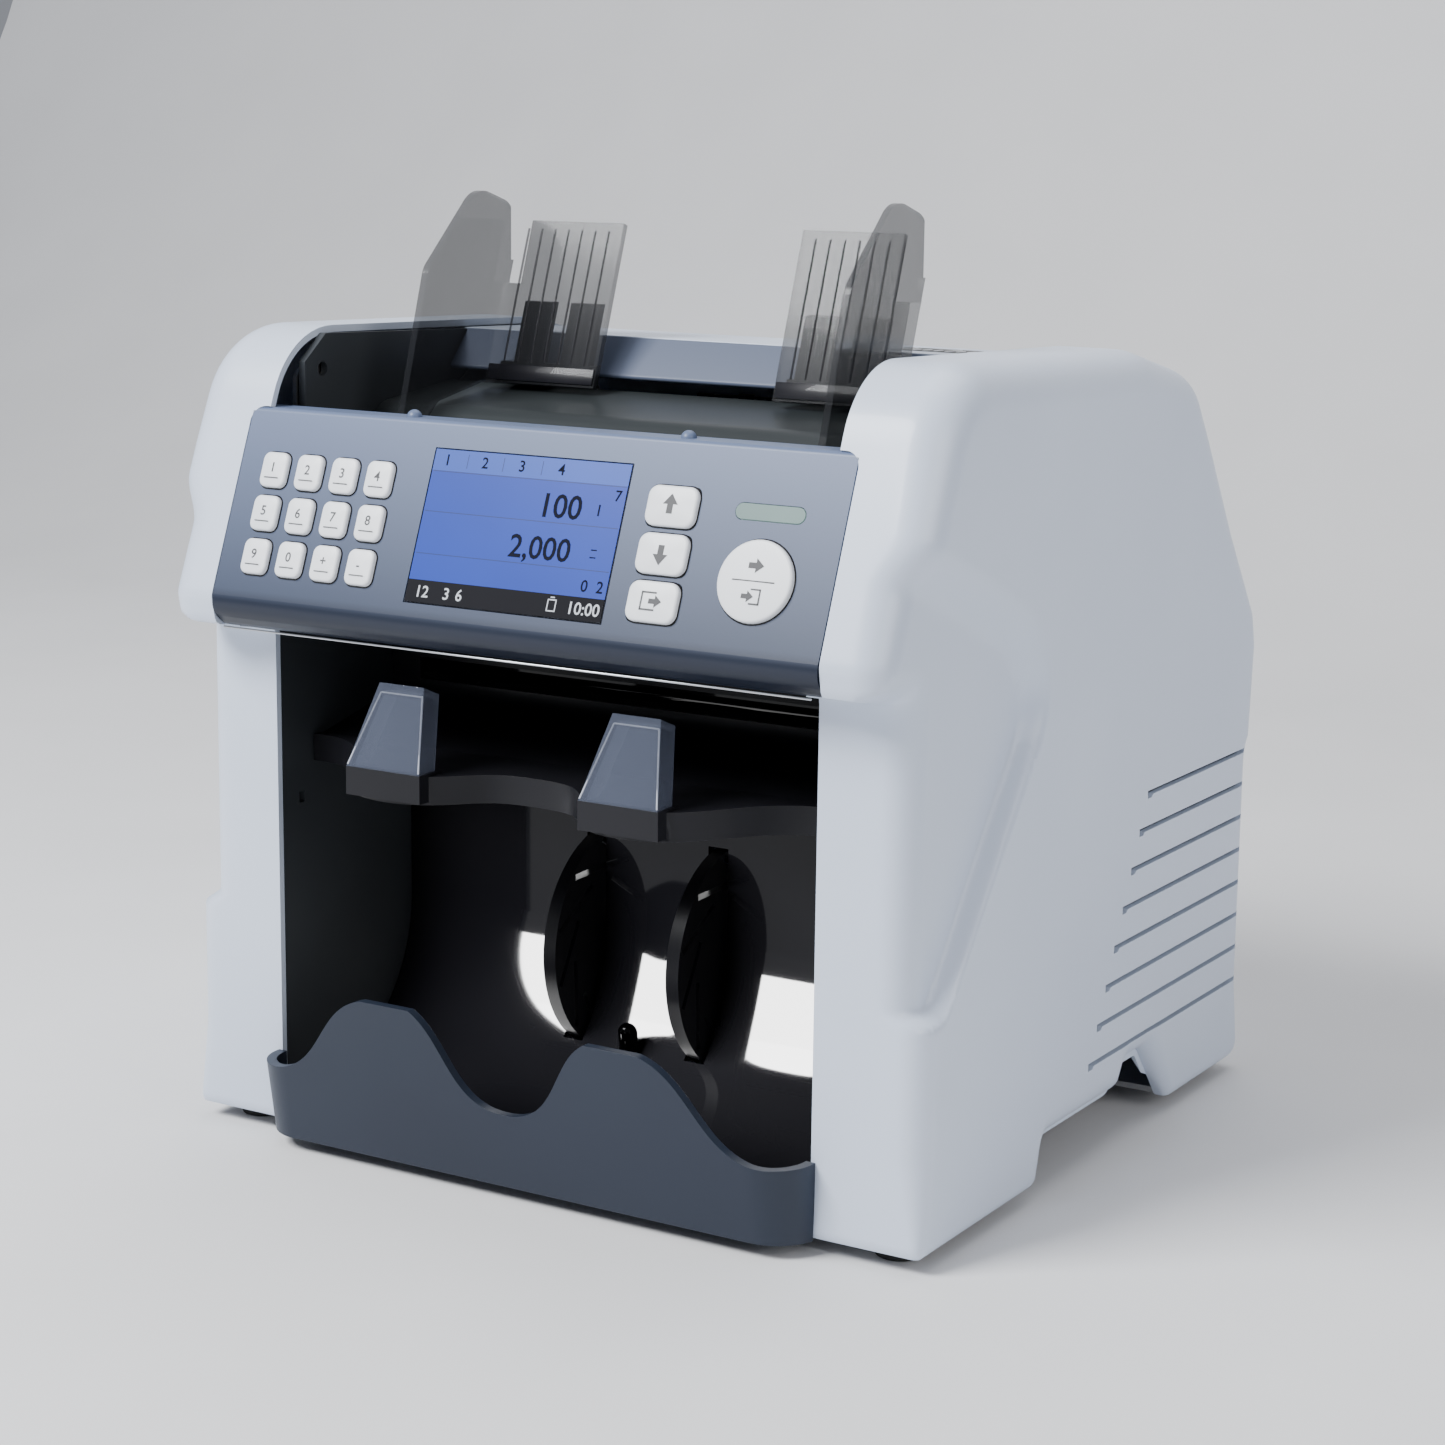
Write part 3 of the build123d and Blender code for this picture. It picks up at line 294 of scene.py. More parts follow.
cover_white = plastic("cover_white", (0.59, 0.66, 0.79), (0.625, 0.695, 0.825), 0.4, coat=0.2)
lip_blue = plastic(
    "lip_blue", (0.015, 0.021, 0.036), (0.018, 0.025, 0.042), 0.42, bump=0.05, specular=0.35
)
wall_blue = plastic("wall_blue", (0.075, 0.095, 0.15), (0.088, 0.11, 0.17), 0.45)
gloss_black = plastic(
    "gloss_black", (0.0003, 0.0003, 0.0004), (0.0005, 0.0005, 0.0006), 0.05, bump=0.002, specular=0.16
)
satin_black = plastic(
    "satin_black", (0.006, 0.006, 0.008), (0.010, 0.010, 0.013), 0.38, bump=0.05, specular=0.25
)
liner_black = plastic(
    "liner_black", (0.034, 0.038, 0.043), (0.044, 0.049, 0.055), 0.4, bump=0.04, specular=0.3
)
floor_black = plastic("floor_black", (0.018, 0.022, 0.024), (0.026, 0.031, 0.033), 0.34, bump=0.05)
key_white = plastic("key_white", (0.80, 0.83, 0.87), (0.86, 0.88, 0.91), 0.35, bump=0.03)
key_mark = plastic("key_mark", (0.03, 0.03, 0.035), (0.05, 0.05, 0.055), 0.5)
rubber_black = plastic(
    "rubber_black", (0.012, 0.012, 0.012), (0.022, 0.022, 0.022), 0.75, grain=2500, bump=0.3
)
board_green = plastic("board_green", (0.01, 0.09, 0.035), (0.015, 0.13, 0.05), 0.3, grain=400)
zinc = metal("zinc", (0.42, 0.43, 0.45), (0.52, 0.53, 0.55), 0.38)
steel = metal("steel", (0.50, 0.50, 0.52), (0.60, 0.60, 0.62), 0.22)
guide_smoke = smoked("guide_smoke", (0.016, 0.017, 0.020), roughness=0.15, alpha=0.5, specular=0.25)
window_smoke = smoked("window_smoke", (0.10, 0.115, 0.16), alpha=0.5)
screen_glass = smoked("screen_glass", (0.5, 0.55, 0.7), alpha=0.08)
lens_green = glow("lens_green", (0.30, 0.46, 0.44), 0.45)
print("materials", len(bpy.data.materials))

# %% [markdown]
# Camera
# ------
# A product shot from the right, a little above the machine, with a long lens so that the sides hardly
# converge. The camera is placed by its bearing and height, and its axes are written as a matrix.

# %% Camera
BEARING = math.radians(31.14)
HEIGHT = math.radians(11.38)
ROLL = math.radians(0.69)
PLACE = (0.5569, -0.9252, 0.3567)
LENS = 76.73


def camera_axes(bearing, height, roll):
    """Right, up and back directions of a camera that looks level at a bearing, then tips down."""
    back = np.array(
        [math.sin(bearing) * math.cos(height), -math.cos(bearing) * math.cos(height), math.sin(height)]
    )
    right = np.cross(-back, [0, 0, 1])
    right = right / np.linalg.norm(right)
    up = np.cross(right, -back)
    return (
        math.cos(roll) * right + math.sin(roll) * up,
        -math.sin(roll) * right + math.cos(roll) * up,
        back,
    )


camera_data = bpy.data.cameras.new("camera")
camera_data.lens = LENS
camera_data.sensor_width = 36
camera = bpy.data.objects.new("camera", camera_data)
bpy.context.scene.collection.objects.link(camera)
placing = np.eye(4)
placing[:3, :3] = np.column_stack(camera_axes(BEARING, HEIGHT, ROLL))
placing[:3, 3] = PLACE
camera.matrix_world = Matrix(placing.tolist())
bpy.context.scene.camera = camera
print("camera at", placing[:3, 3])

# %% [markdown]
# Floor and light
# ---------------
# The floor curves up into a wall, as paper does in a small studio, so there is no horizon line. A soft
# light in front on the left is the main one, weaker ones lift the right side and the top, and a pale sky
# fills the rest. A large bright card is linked to the pocket's rear sheet alone: its reflection gives
# the white patches there and lights nothing else.

# %% Studio
def sweep_floor(width=3.6, front=-2.6, rear=1.6, height=2.4, bend=0.8):
    """A sheet that runs back on the floor, turns up through a quarter circle and ends as a wall."""
    turn = np.linspace(0, math.pi / 2, 24)
    y = np.concatenate([[front, 0.3 * front], rear - bend + bend * np.sin(turn), [rear]])
    z = np.concatenate([[0, 0], bend - bend * np.cos(turn), [height]])
    x = np.linspace(-width / 2, width / 2, 9)
    points = np.stack(np.broadcast_arrays(x[None, :], y[:, None], z[:, None]), axis=-1)
    return points / MM


def soft_light(name, place, size, power, colour, target=(0, 0, 0.14)):
    """A rectangular soft light that faces the machine."""
    lamp = bpy.data.lights.new(name, "AREA")
    lamp.shape = "RECTANGLE"
    lamp.size, lamp.size_y = size
    lamp.energy = power
    lamp.color = colour
    holder = bpy.data.objects.new(name, lamp)
    bpy.context.scene.collection.objects.link(holder)
    back = np.array(place, float) - np.array(target, float)
    back = back / np.linalg.norm(back)
    right = np.cross([0, 0, 1], back)
    right = right / np.linalg.norm(right)
    frame_of_light = np.eye(4)
    frame_of_light[:3, :3] = np.column_stack([right, np.cross(back, right), back])
    frame_of_light[:3, 3] = place
    holder.matrix_world = Matrix(frame_of_light.tolist())
    return holder


floor = grid_object("floor", sweep_floor())
paper = plastic("paper", (0.74, 0.74, 0.75), (0.76, 0.76, 0.77), 0.9, grain=60, bump=0.02)
floor.data.materials.append(paper)
soft_light("front_light", (-0.7, -1.25, 1.45), (0.9, 0.7), 66, (0.97, 0.985, 1.0))
soft_light("side_light", (1.7, -0.5, 0.9), (0.9, 0.9), 11, (1.0, 0.98, 0.96))
soft_light("top_light", (0.0, 0.5, 1.8), (1.2, 1.2), 12, (1.0, 1.0, 1.0))
pocket_card = soft_light("pocket_card", (-0.75, -1.25, 0.72), (1.5, 1.9), 2600, (1.0, 1.0, 1.0))
pocket_only = bpy.data.collections.new("pocket_only")
pocket_only.objects.link(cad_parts["stacker_back"])
pocket_card.light_linking.receiver_collection = pocket_only
sky = bpy.data.worlds.new("sky")
sky.use_nodes = True
sky.node_tree.nodes["Background"].inputs["Color"].default_value = (0.86, 0.90, 1.0, 1)
sky.node_tree.nodes["Background"].inputs["Strength"].default_value = 0.30
bpy.context.scene.world = sky
print("lights", [light.name for light in bpy.data.lights])

# %% [markdown]
# Finishes for the CAD parts
# --------------------------
# Parts whose CAD shape is right keep it and only get a finish. The table says which finish each takes.

# %% Finishes on CAD nodes
PANEL_TONES = [
    (0.0, (0.012, 0.016, 0.028)),
    (1.0, (0.115, 0.15, 0.245)),
    (0.14, (0.015, 0.020, 0.035)),
    (0.19, (0.042, 0.056, 0.095)),
]


def graded_paint(name, low_z, high_z, tones):
    """Paint whose tone follows the height between two levels (mm). Tones are (share, colour)."""
    material, tree, shader = new_material(name)
    place = tree.nodes.new("ShaderNodeTexCoord")
    split = tree.nodes.new("ShaderNodeSeparateXYZ")
    span = tree.nodes.new("ShaderNodeMapRange")
    span.inputs["From Min"].default_value = low_z * MM
    span.inputs["From Max"].default_value = high_z * MM
    ramp = tree.nodes.new("ShaderNodeValToRGB")
    stops = ramp.color_ramp.elements
    for number, (share, colour) in enumerate(tones):
        stop = stops[number] if number < 2 else stops.new(share)
        stop.position = share
        stop.color = (*colour, 1)
    tree.links.new(place.outputs["Object"], split.inputs["Vector"])
    tree.links.new(split.outputs["Z"], span.inputs["Value"])
    tree.links.new(span.outputs["Result"], ramp.inputs["Fac"])
    tree.links.new(ramp.outputs["Color"], shader.inputs["Base Color"])
    shader.inputs["Roughness"].default_value = 0.36
    shader.inputs["Specular IOR Level"].default_value = 0.3
    grain_bump(tree, shader, 1400, 0.05)
    return material


panel_paint = graded_paint("panel_paint", panel_low[2], panel_high[2], PANEL_TONES)
FINISHES = {
    "fascia": panel_paint,
    "stacker_lip": lip_blue,
    "hopper_rear_wall": wall_blue,
    "hopper_floor": floor_black,
    "inner_wall_left": liner_black,
    "inner_wall_right": liner_black,
    "reject_tray": satin_black,
    "reject_bar": satin_black,
    "reject_windows": window_smoke,
    "stacker_back": gloss_black,
    "stacker_shaft": satin_black,
    "guide_left": guide_smoke,
    "guide_right": guide_smoke,
    "guide_carriage_left": satin_black,
    "guide_carriage_right": satin_black,
    "guide_pinion": satin_black,
    "top_strip": cover_white,
    "rear_door": cover_white,
    "rear_panel": cover_white,
    "cover_screws": steel,
    "bearings": steel,
    "motor_shaft": steel,
    "frame_plate_left": zinc,
    "frame_plate_right": zinc,
    "base_tray": zinc,
    "power_supply": zinc,
    "drive_motor": zinc,
    "feet": rubber_black,
    "drive_belt": rubber_black,
    "kicker_shaft": rubber_black,
    "feed_shaft": rubber_black,
    "drum_shaft": rubber_black,
    "note_guides": gloss_black,
    "image_sensors": gloss_black,
    "diverter": satin_black,
    "main_board": board_green,
    "key_board": board_green,
    "mains_inlet": satin_black,
    "power_switch": gloss_black,
    "lcd_module": gloss_black,
    "lcd_window": screen_glass,
    "led_lens": lens_green,
}
for node, finish in FINISHES.items():
    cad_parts[node].material_slots[0].material = finish
KEYS = sorted(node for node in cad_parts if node.startswith("key_") and node != "key_board")
for node in KEYS:
    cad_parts[node].material_slots[0].material = key_white
print("finished CAD nodes", len(FINISHES) + len(KEYS), "of", len(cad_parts))

# %% [markdown]
# Side covers
# -----------
# Each cover is one large moulding: a flat side with broad rounded edges, a shallow recess behind the
# front column, a cheek beside the control panel and a hand hold under it. Its side face is worked out
# over rays from an inner point to the outline, because the whole outline can be seen from there. How far
# a point sits below the flat side depends only on two distances: to the outline, and into the recess.

# %% Rounded outlines
def smooth_step(value):
    """Rises from 0 to 1 with level ends: 3 t^2 - 2 t^3."""
    t = np.clip(value, 0.0, 1.0)
    return t * t * (3 - 2 * t)


def rounded_loop(corners, radii, spacing):
    """A closed outline whose corners are arcs, as points an equal distance apart."""
    corners = np.array(corners, float)
    runs = []
    befores, afters = np.roll(corners, 1, 0), np.roll(corners, -1, 0)
    for here, before, after, radius in zip(corners, befores, afters, radii):
        to_before = (before - here) / np.linalg.norm(before - here)
        to_after = (after - here) / np.linalg.norm(after - here)
        half = 0.5 * math.acos(np.clip(to_before @ to_after, -1, 1))
        middle = (to_before + to_after) / np.linalg.norm(to_before + to_after)
        centre = here + middle * radius / math.sin(half)
        start = here + to_before * radius / math.tan(half) - centre
        end = here + to_after * radius / math.tan(half) - centre
        first = math.atan2(start[1], start[0])
        sweep = (math.atan2(end[1], end[0]) - first + math.pi) % (2 * math.pi) - math.pi
        angles = first + sweep * np.linspace(0, 1, 12)
        runs.append(centre + radius * np.column_stack([np.cos(angles), np.sin(angles)]))
    path = np.concatenate(runs + [runs[0][:1]])
    return resample(path, spacing)[:-1]


def resample(path, spacing):
    """The same path as points an equal distance apart."""
    lengths = np.concatenate([[0], np.cumsum(np.linalg.norm(np.diff(path, axis=0), axis=1))])
    count = int(round(lengths[-1] / spacing)) + 1
    marks = np.linspace(0, lengths[-1], count)
    return np.column_stack([np.interp(marks, lengths, path[:, axis]) for axis in range(path.shape[1])])


def distance_to_loop(points, loop):
    """Shortest distance from each point to a closed outline, and whether the point lies inside it."""
    starts, ends = loop, np.roll(loop, -1, axis=0)
    nearest = np.full(points.shape[:-1], np.inf)
    inside = np.zeros(points.shape[:-1], bool)
    for start, end in zip(starts, ends):
        along = end - start
        share = np.clip(((points - start) @ along) / (along @ along), 0, 1)
        foot = start + share[..., None] * along
        nearest = np.minimum(nearest, np.linalg.norm(points - foot, axis=-1))
        crosses = (start[1] > points[..., 1]) != (end[1] > points[..., 1])
        height = np.where(crosses, points[..., 1] - start[1], 0)
        where = start[0] + along[0] * height / (along[1] if along[1] else 1.0)
        inside ^= crosses & (points[..., 0] < where)
    return nearest, inside


# %% Outline of a side cover
panel_foot = panel_point(0, 69)[1:]
panel_low_end = panel_point(0, 66)[1:]
arch_corner = panel_point(0, -(CREST - PANEL_TOP[2]) / math.cos(PANEL_TILT))[1:]
COVER_CORNERS = [
    ((FACE, BASE), 3),
    ((FACE, OPENING), 2),
    ((panel_foot[0] + 3, OPENING + 3), 3),
    (tuple(panel_low_end), 5),
    (tuple(arch_corner), 33),
    ((REAR - 108.5, CREST - 4), 30),
    ((REAR - 65.5, CREST - 14), 22),
    ((REAR - 28.5, CREST - 70), 24),
    ((REAR - 3.5, CREST - 104), 8),
    ((REAR, CREST - 118), 6),
    ((REAR - 2.5, CREST - 155), 1),
    ((REAR - 6, CREST - 159), 1),
    ((REAR - 6, BASE), 7),
    ((73, BASE), 4),
    ((54, BASE + 23), 4),
    ((36, BASE + 23), 4),
    ((29, BASE + 15), 4),
    ((-31, BASE + 15), 5),
    ((-38, BASE), 4),
]
cover_outline = rounded_loop([c for c, r in COVER_CORNERS], [r for c, r in COVER_CORNERS], 2.0)
RECESS_CORNERS = [
    ((-160, 81), 1),
    ((-109, 81), 6),
    ((-47, 161), 12),
    ((-44, 173), 9),
    ((-57, 193), 16),
    ((-90, 209), 10),
    ((-127, 223), 10),
    ((-160, 229), 1),
]
recess_outline = rounded_loop([c for c, r in RECESS_CORNERS], [r for c, r in RECESS_CORNERS], 4.0)
print("cover outline points", len(cover_outline), "recess", len(recess_outline))


# %% Surface of a side cover
RECESS_DEPTH = 7.0
WALL = 2.4
FRONT_RETURN, SIDE_RETURN, FOOT_RETURN = 106.0, 109.5, HALF - 6
SIDE_CENTRE = np.array([-40.0, 200.0])


def cover_points():
    """Side face: rays from the inner point to the outline. Across = half width - recess - edge round.

    The edge round is a quarter circle whose radius grows with height: r - sqrt(r^2 - (r - d)^2), where
    d is the distance to the outline. After the outline the wall runs straight inwards to its return.
    """
    share = 1 - (1 - np.linspace(0, 1, 76)) ** 1.6
    share[-1] = 1.0
    flat = SIDE_CENTRE + share[None, :, None] * (cover_outline[:, None, :] - SIDE_CENTRE)
    to_edge = distance_to_loop(flat, cover_outline)[0]
    radius = np.interp(flat[..., 1], [5, 35, 170, 200, 240, 281], [3, 10, 11, 12, 13, 16])
    shortfall = radius - np.minimum(to_edge, radius)
    edge = radius - np.sqrt(radius**2 - shortfall**2)
    to_recess, inside = distance_to_loop(flat, recess_outline)
    width = np.interp(flat[..., 1], [155, 195], [5.5, 18])
    recess = RECESS_DEPTH * smooth_step(0.5 + np.where(inside, 1, -1) * to_recess / width)
    across = HALF - edge - recess
    side = np.concatenate([across[..., None], flat], axis=-1)
    y, z = cover_outline[:, 0], cover_outline[:, 1]
    stop = np.where((y < FACE + 4) & (z < OPENING + 1), FRONT_RETURN, SIDE_RETURN)
    underside = (z < BASE + 24) & (y > FACE + 4) & (y < REAR - 9)
    stop = np.where(underside, FOOT_RETURN, stop)
    reach = np.linspace(0, 1, 7)[1:]
    rim_x = across[:, -1:] + reach[None, :] * (stop - across[:, -1])[:, None]
    rim = np.concatenate([rim_x[..., None], np.repeat(cover_outline[:, None, :], 6, axis=1)], axis=-1)
    return np.concatenate([side, rim], axis=1)


def applied(piece):
    """Bakes the modifiers of a piece into its mesh."""
    bpy.context.view_layer.update()
    evaluated = piece.evaluated_get(bpy.context.evaluated_depsgraph_get())
    mesh = bpy.data.meshes.new_from_object(evaluated)
    old = piece.data
    piece.modifiers.clear()
    piece.data = mesh
    bpy.data.meshes.remove(old)
    return piece


def cut(piece, cutter):
    """Takes the cutter's volume out of a piece and removes the cutter."""
    notch = piece.modifiers.new("cut", "BOOLEAN")
    notch.object = cutter
    notch.operation = "DIFFERENCE"
    notch.solver = "EXACT"
    applied(piece)
    bpy.data.objects.remove(cutter)
    return piece


def prism_mesh(outline, lift):
    """Corner points and faces of a closed prism: an outline (n, 3) and the same outline lifted."""
    count = len(outline)
    verts = np.concatenate([outline, outline + lift])
    numbers = np.arange(count)
    following = np.roll(numbers, -1)
    walls = np.column_stack([numbers, following, following + count, numbers + count]).tolist()
    return verts, walls + [numbers[::-1].tolist(), (numbers + count).tolist()]


def joined_prisms(name, outlines, lifts):
    """Several closed prisms in one mesh."""
    verts, faces, offset = [], [], 0
    for outline, lift in zip(outlines, lifts):
        points, sides = prism_mesh(np.asarray(outline, float), np.asarray(lift, float))
        verts.append(points)
        faces += [[number + offset for number in face] for face in sides]
        offset += len(points)
    piece = mesh_object(name, np.concatenate(verts), faces, smooth=False)
    return weld(piece)


SLOT_ROWS = 8
SLOT_FIRST_Z, SLOT_PITCH, SLOT_STEP_Y = 36.4, 12.5, 6.0


def slot_outline(row, side):
    """A louvre slot: a long thin outline with a blunt front end, on the side face."""
    z = SLOT_FIRST_Z + SLOT_PITCH * row
    y = SLOT_STEP_Y * row
    rear = REAR - 12
    front_end = [(y, z - 1.9), (y + 3.4, z - 1.9), (y + 4.6, z - 0.9)]
    corners = front_end + [(rear, z - 0.9), (rear, z + 0.9), (y, z + 0.9)]
    return [(side * (HALF - 12), *corner) for corner in corners]


def bay_outline(side):
    """The bay for the control panel, a rounded rectangle on the panel plane with a fine gap."""
    gap = 0.45
    half = PANEL_HALF + gap
    loop = rounded_loop([(-half, -gap), (half, -gap), (half, 79), (-half, 79)], [5.4, 5.4, 1, 1], 1.0)
    return panel_point(loop[:, 0], loop[:, 1], -9.0)


bay_lift = panel_point(0, 0, 22.0) - panel_point(0, 0, 0)
for side, name in ((1, "right"), (-1, "left")):
    points = cover_points() * np.array([side, 1, 1])
    cover = grid_object("cover_" + name, points.transpose(1, 0, 2), closed=True, flip=side < 0)
    weld(cover, 0.02, outwards=False)
    print(name, "side looks along x", round(sum(f.normal.x * f.area for f in cover.data.polygons), 4))
    thicken(cover, WALL)
    applied(cover)
    outlines = [slot_outline(row, side) for row in range(SLOT_ROWS)] + [bay_outline(side)]
    cutter = joined_prisms("cutter", outlines, [(24 * side, 0, 0)] * SLOT_ROWS + [bay_lift])
    cut(cover, cutter)
    shade_by_angle(cover, 35)
    finish_piece(cover, cover_white, stands_for=["side_cover_" + name])
    print(name, "cover faces", len(cover.data.polygons))

# %% [markdown]
# Marks as meshes
# ---------------
# Digits on keys and on the display are flat meshes made from Blender's built-in font, so they stay crisp.
# Bars and arrows are thin outlines. Each mark is laid on the panel by its own place, and a small lift
# keeps it clear of the surface under it.

# %% Marks on the panel
def text_points(text, size, align="CENTER"):
    """Flat mesh of a text, as points (n, 2) in millimetres and faces, centred on its baseline."""
    curve = bpy.data.curves.new("text", "FONT")
    curve.body = text
    curve.size = size
    curve.align_x = align
    curve.resolution_u = 3
    curve.offset = 0.012 * size
    holder = bpy.data.objects.new("text", curve)
    bpy.context.scene.collection.objects.link(holder)
    bpy.context.view_layer.update()
    evaluated = holder.evaluated_get(bpy.context.evaluated_depsgraph_get())
    mesh = bpy.data.meshes.new_from_object(evaluated)
    flat = np.empty(len(mesh.vertices) * 3)
    mesh.vertices.foreach_get("co", flat)
    faces = [list(polygon.vertices) for polygon in mesh.polygons]
    bpy.data.objects.remove(holder)
    bpy.data.meshes.remove(mesh)
    return flat.reshape(-1, 3)[:, :2], faces


def bar(x0, y0, x1, y1):
    """A flat rectangle from one corner to the other."""
    return np.array([(x0, y0), (x1, y0), (x1, y1), (x0, y1)], float), [[0, 1, 2, 3]]


def arrow(x, y, size, turn):
    """A block arrow round a point: a head of three corners on a stem, turned by quarter turns."""
    shape = np.array([(-0.5, 0), (0.5, 0), (0, 0.62), (-0.2, -0.55), (0.2, -0.55), (0.2, 0), (-0.2, 0)])
    angle = turn * math.pi / 2
    spin = np.array([[math.cos(angle), -math.sin(angle)], [math.sin(angle), math.cos(angle)]])
    return shape * size @ spin.T + np.array([x, y]), [[0, 1, 2], [3, 4, 5, 6]]


def bracket(x, y, width, height, line, opening):
    """A frame that is open on one side (-1 left, 1 right), as on an exit sign."""
    half_w, half_h = width / 2, height / 2
    back = -opening * half_w
    left, right = sorted((back, back + opening * line))
    bars = [
        bar(x + left, y - half_h, x + right, y + half_h),
        bar(x - half_w, y + half_h - line, x + half_w, y + half_h),
        bar(x - half_w, y - half_h, x + half_w, y - half_h + line),
    ]
    return gather(bars)


def gather(shapes):
    """Several flat shapes as one set of points and faces."""
    points, faces, offset = [], [], 0
    for shape, sides in shapes:
        points.append(shape)
        faces += [[number + offset for number in side] for side in sides]
        offset += len(shape)
    return np.concatenate(points), faces


def moved(shape, x, y):
    """The same flat shape moved across and up."""
    points, faces = shape
    return points + np.array([x, y]), faces


def panel_mark(name, shapes, centre, lift, material, body="chassis"):
    """Flat shapes laid on the panel round a centre (across, down), at a height above the panel face."""
    points, faces = gather(shapes)
    verts = panel_point(centre[0] + points[:, 0], centre[1] - points[:, 1], lift)
    piece = mesh_object(name, verts, faces, smooth=False)
    facing = sum(face.normal.y * face.area for face in piece.data.polygons)
    if facing > 0:
        piece.data.flip_normals()
    return finish_piece(piece, material, body=body)


# %% [markdown]
# Keys
# ----
# A moulded key has a soft pillow top: highest in the middle, falling away to a rounded rim, then straight
# sides. One function gives that shape for any key. Its outline is a rounded rectangle, and the same rays
# as on the side cover carry a height over it, so the round start key is only a case with a large radius.
# The skirt goes down to where the CAD key goes, so the key still moves in its hole.

# %% Keycaps
KEY_RISE = 2.2
KEY_SKIRT = 0.5


def rectangle(width, height, grow=0.0):
    """Corners of a rectangle round the origin, grown by the same amount on every side."""
    half_w, half_h = width / 2 + grow, height / 2 + grow
    return [(-half_w, -half_h), (half_w, -half_h), (half_w, half_h), (-half_w, half_h)]


def key_cap_points(width, height, radius, rise=KEY_RISE, round_edge=0.9, crown=0.35):
    """Height over a key: rise - crown * s^2 inside, then a quarter circle down the edge, then the skirt.

    The parameter s is the share of the way from the middle to the outline.
    """
    loop = rounded_loop(rectangle(width, height), [radius] * 4, 0.6)
    inner = np.linspace(0, 1, 7)[:, None, None] ** 0.8
    size = np.array([width, height]) / 2
    shrink = (size - round_edge) / size
    top = inner * loop[None] * shrink
    top_z = rise - crown * inner[..., 0] ** 2 + 0 * top[..., 0]
    turn = np.linspace(0, math.pi / 2, 7)[1:]
    edge = loop[None] * (shrink + (1 - shrink) * np.sin(turn)[:, None, None])
    edge_z = rise - crown - round_edge * (1 - np.cos(turn))[:, None] + 0 * edge[..., 0]
    skirt = np.repeat(loop[None], 2, 0)
    skirt_z = np.array([0.0, -KEY_SKIRT])[:, None] + 0 * skirt[..., 0]
    flat = np.concatenate([top, edge, skirt])
    heights = np.concatenate([top_z, edge_z, skirt_z])
    foot = flat[-1:] * 0.0
    flat = np.concatenate([flat, foot])
    heights = np.concatenate([heights, np.full((1, len(loop)), -KEY_SKIRT)])
    return flat, heights


def key_cap(node, across, down, width, height, radius):
    """A keycap that stands for a CAD key and rides on its body."""
    flat, heights = key_cap_points(width, height, radius)
    points = panel_point(across + flat[..., 0], down - flat[..., 1], heights)
    cap = grid_object(node + "_cap", points, closed=True)
    weld(cap, 0.004)
    shade_by_angle(cap, 50)
    return finish_piece(cap, key_white, body=node + "_cap", stands_for=[node])


def key_collar(name, across, down, width, height, radius):
    """The fine dark gap round a key: a flat ring just above the panel."""
    grow = 0.55
    outer = rounded_loop(rectangle(width, height, grow), [radius + grow] * 4, 0.6)
    shares = np.array([0.7, 1.0])[:, None, None]
    flat = shares * outer[None]
    lift = np.array([0.06, 0.06])[:, None] + 0 * flat[..., 0]
    ring = grid_object(name, panel_point(across + flat[..., 0], down - flat[..., 1], lift), closed=True)
    facing = sum(face.normal.y * face.area for face in ring.data.polygons)
    if facing > 0:
        ring.data.flip_normals()
    thicken(ring, 0.05)
    return finish_piece(ring, satin_black)


MARK_LIFT = KEY_RISE + 0.03
small = (10.5, 12.0, 2.6)
wide = (18.0, 13.0, 3.4)
PAD_LEFT, PAD_TOP, PAD_PITCH = -101, 21.4, (14.5, 14.9)
WIDE_ACROSS = 55.6
START_PLACE, START_SIZE = (90.0, 42.3), (26.0, 26.0, 12.98)
labels = ["1", "2", "3", "4", "5", "6", "7", "8", "9", "0", "+", "-"]
for row in range(3):
    for column in range(4):
        node = f"key_{row + 1}{column + 1}"
        across, down = PAD_LEFT + PAD_PITCH[0] * column, PAD_TOP + PAD_PITCH[1] * row
        key_cap(node, across, down, *small)
        key_collar(f"{node}_gap", across, down, *small)
        shapes = [moved(text_points(labels[4 * row + column], 4.6), 0, -0.9), bar(-2.9, -3.1, 2.9, -2.75)]
        panel_mark(f"{node}_mark", shapes, (across, down), MARK_LIFT, key_mark, body=node + "_cap")

wide_marks = {
    "key_up": (21.6, [arrow(0, 0.4, 5.4, 0)]),
    "key_down": (36.8, [arrow(0, -0.4, 5.4, 2)]),
    "key_menu": (52.0, [bracket(-1.0, 0, 5.4, 6.0, 0.55, 1), arrow(1.4, 0, 4.0, 3)]),
}
for node, (down, shapes) in wide_marks.items():
    key_cap(node, WIDE_ACROSS, down, *wide)
    key_collar(f"{node}_gap", WIDE_ACROSS, down, *wide)
    panel_mark(f"{node}_mark", shapes, (WIDE_ACROSS, down), MARK_LIFT, key_mark, body=node + "_cap")
key_cap("key_start", *START_PLACE, *START_SIZE)
key_collar("key_start_gap", *START_PLACE, *START_SIZE)
start_shapes = [
    arrow(0, 4.6, 4.6, 3),
    bar(-7.4, -0.4, 7.4, 0.0),
    bracket(1.6, -5.0, 3.6, 5.0, 0.5, -1),
    arrow(-1.2, -5.0, 3.6, 3),
]
panel_mark("key_start_mark", start_shapes, START_PLACE, MARK_LIFT, key_mark, body="key_start_cap")
print("keys with caps", len(KEYS))

# %% [markdown]
# Display
# -------
# The screen is lit from behind: a blue field with a lighter head line, thin rules and a black foot line.
# Every band is its own flat piece just under the glass, and big digits are set flush right, as on a
# counter that shows how many notes it has counted and what they are worth.

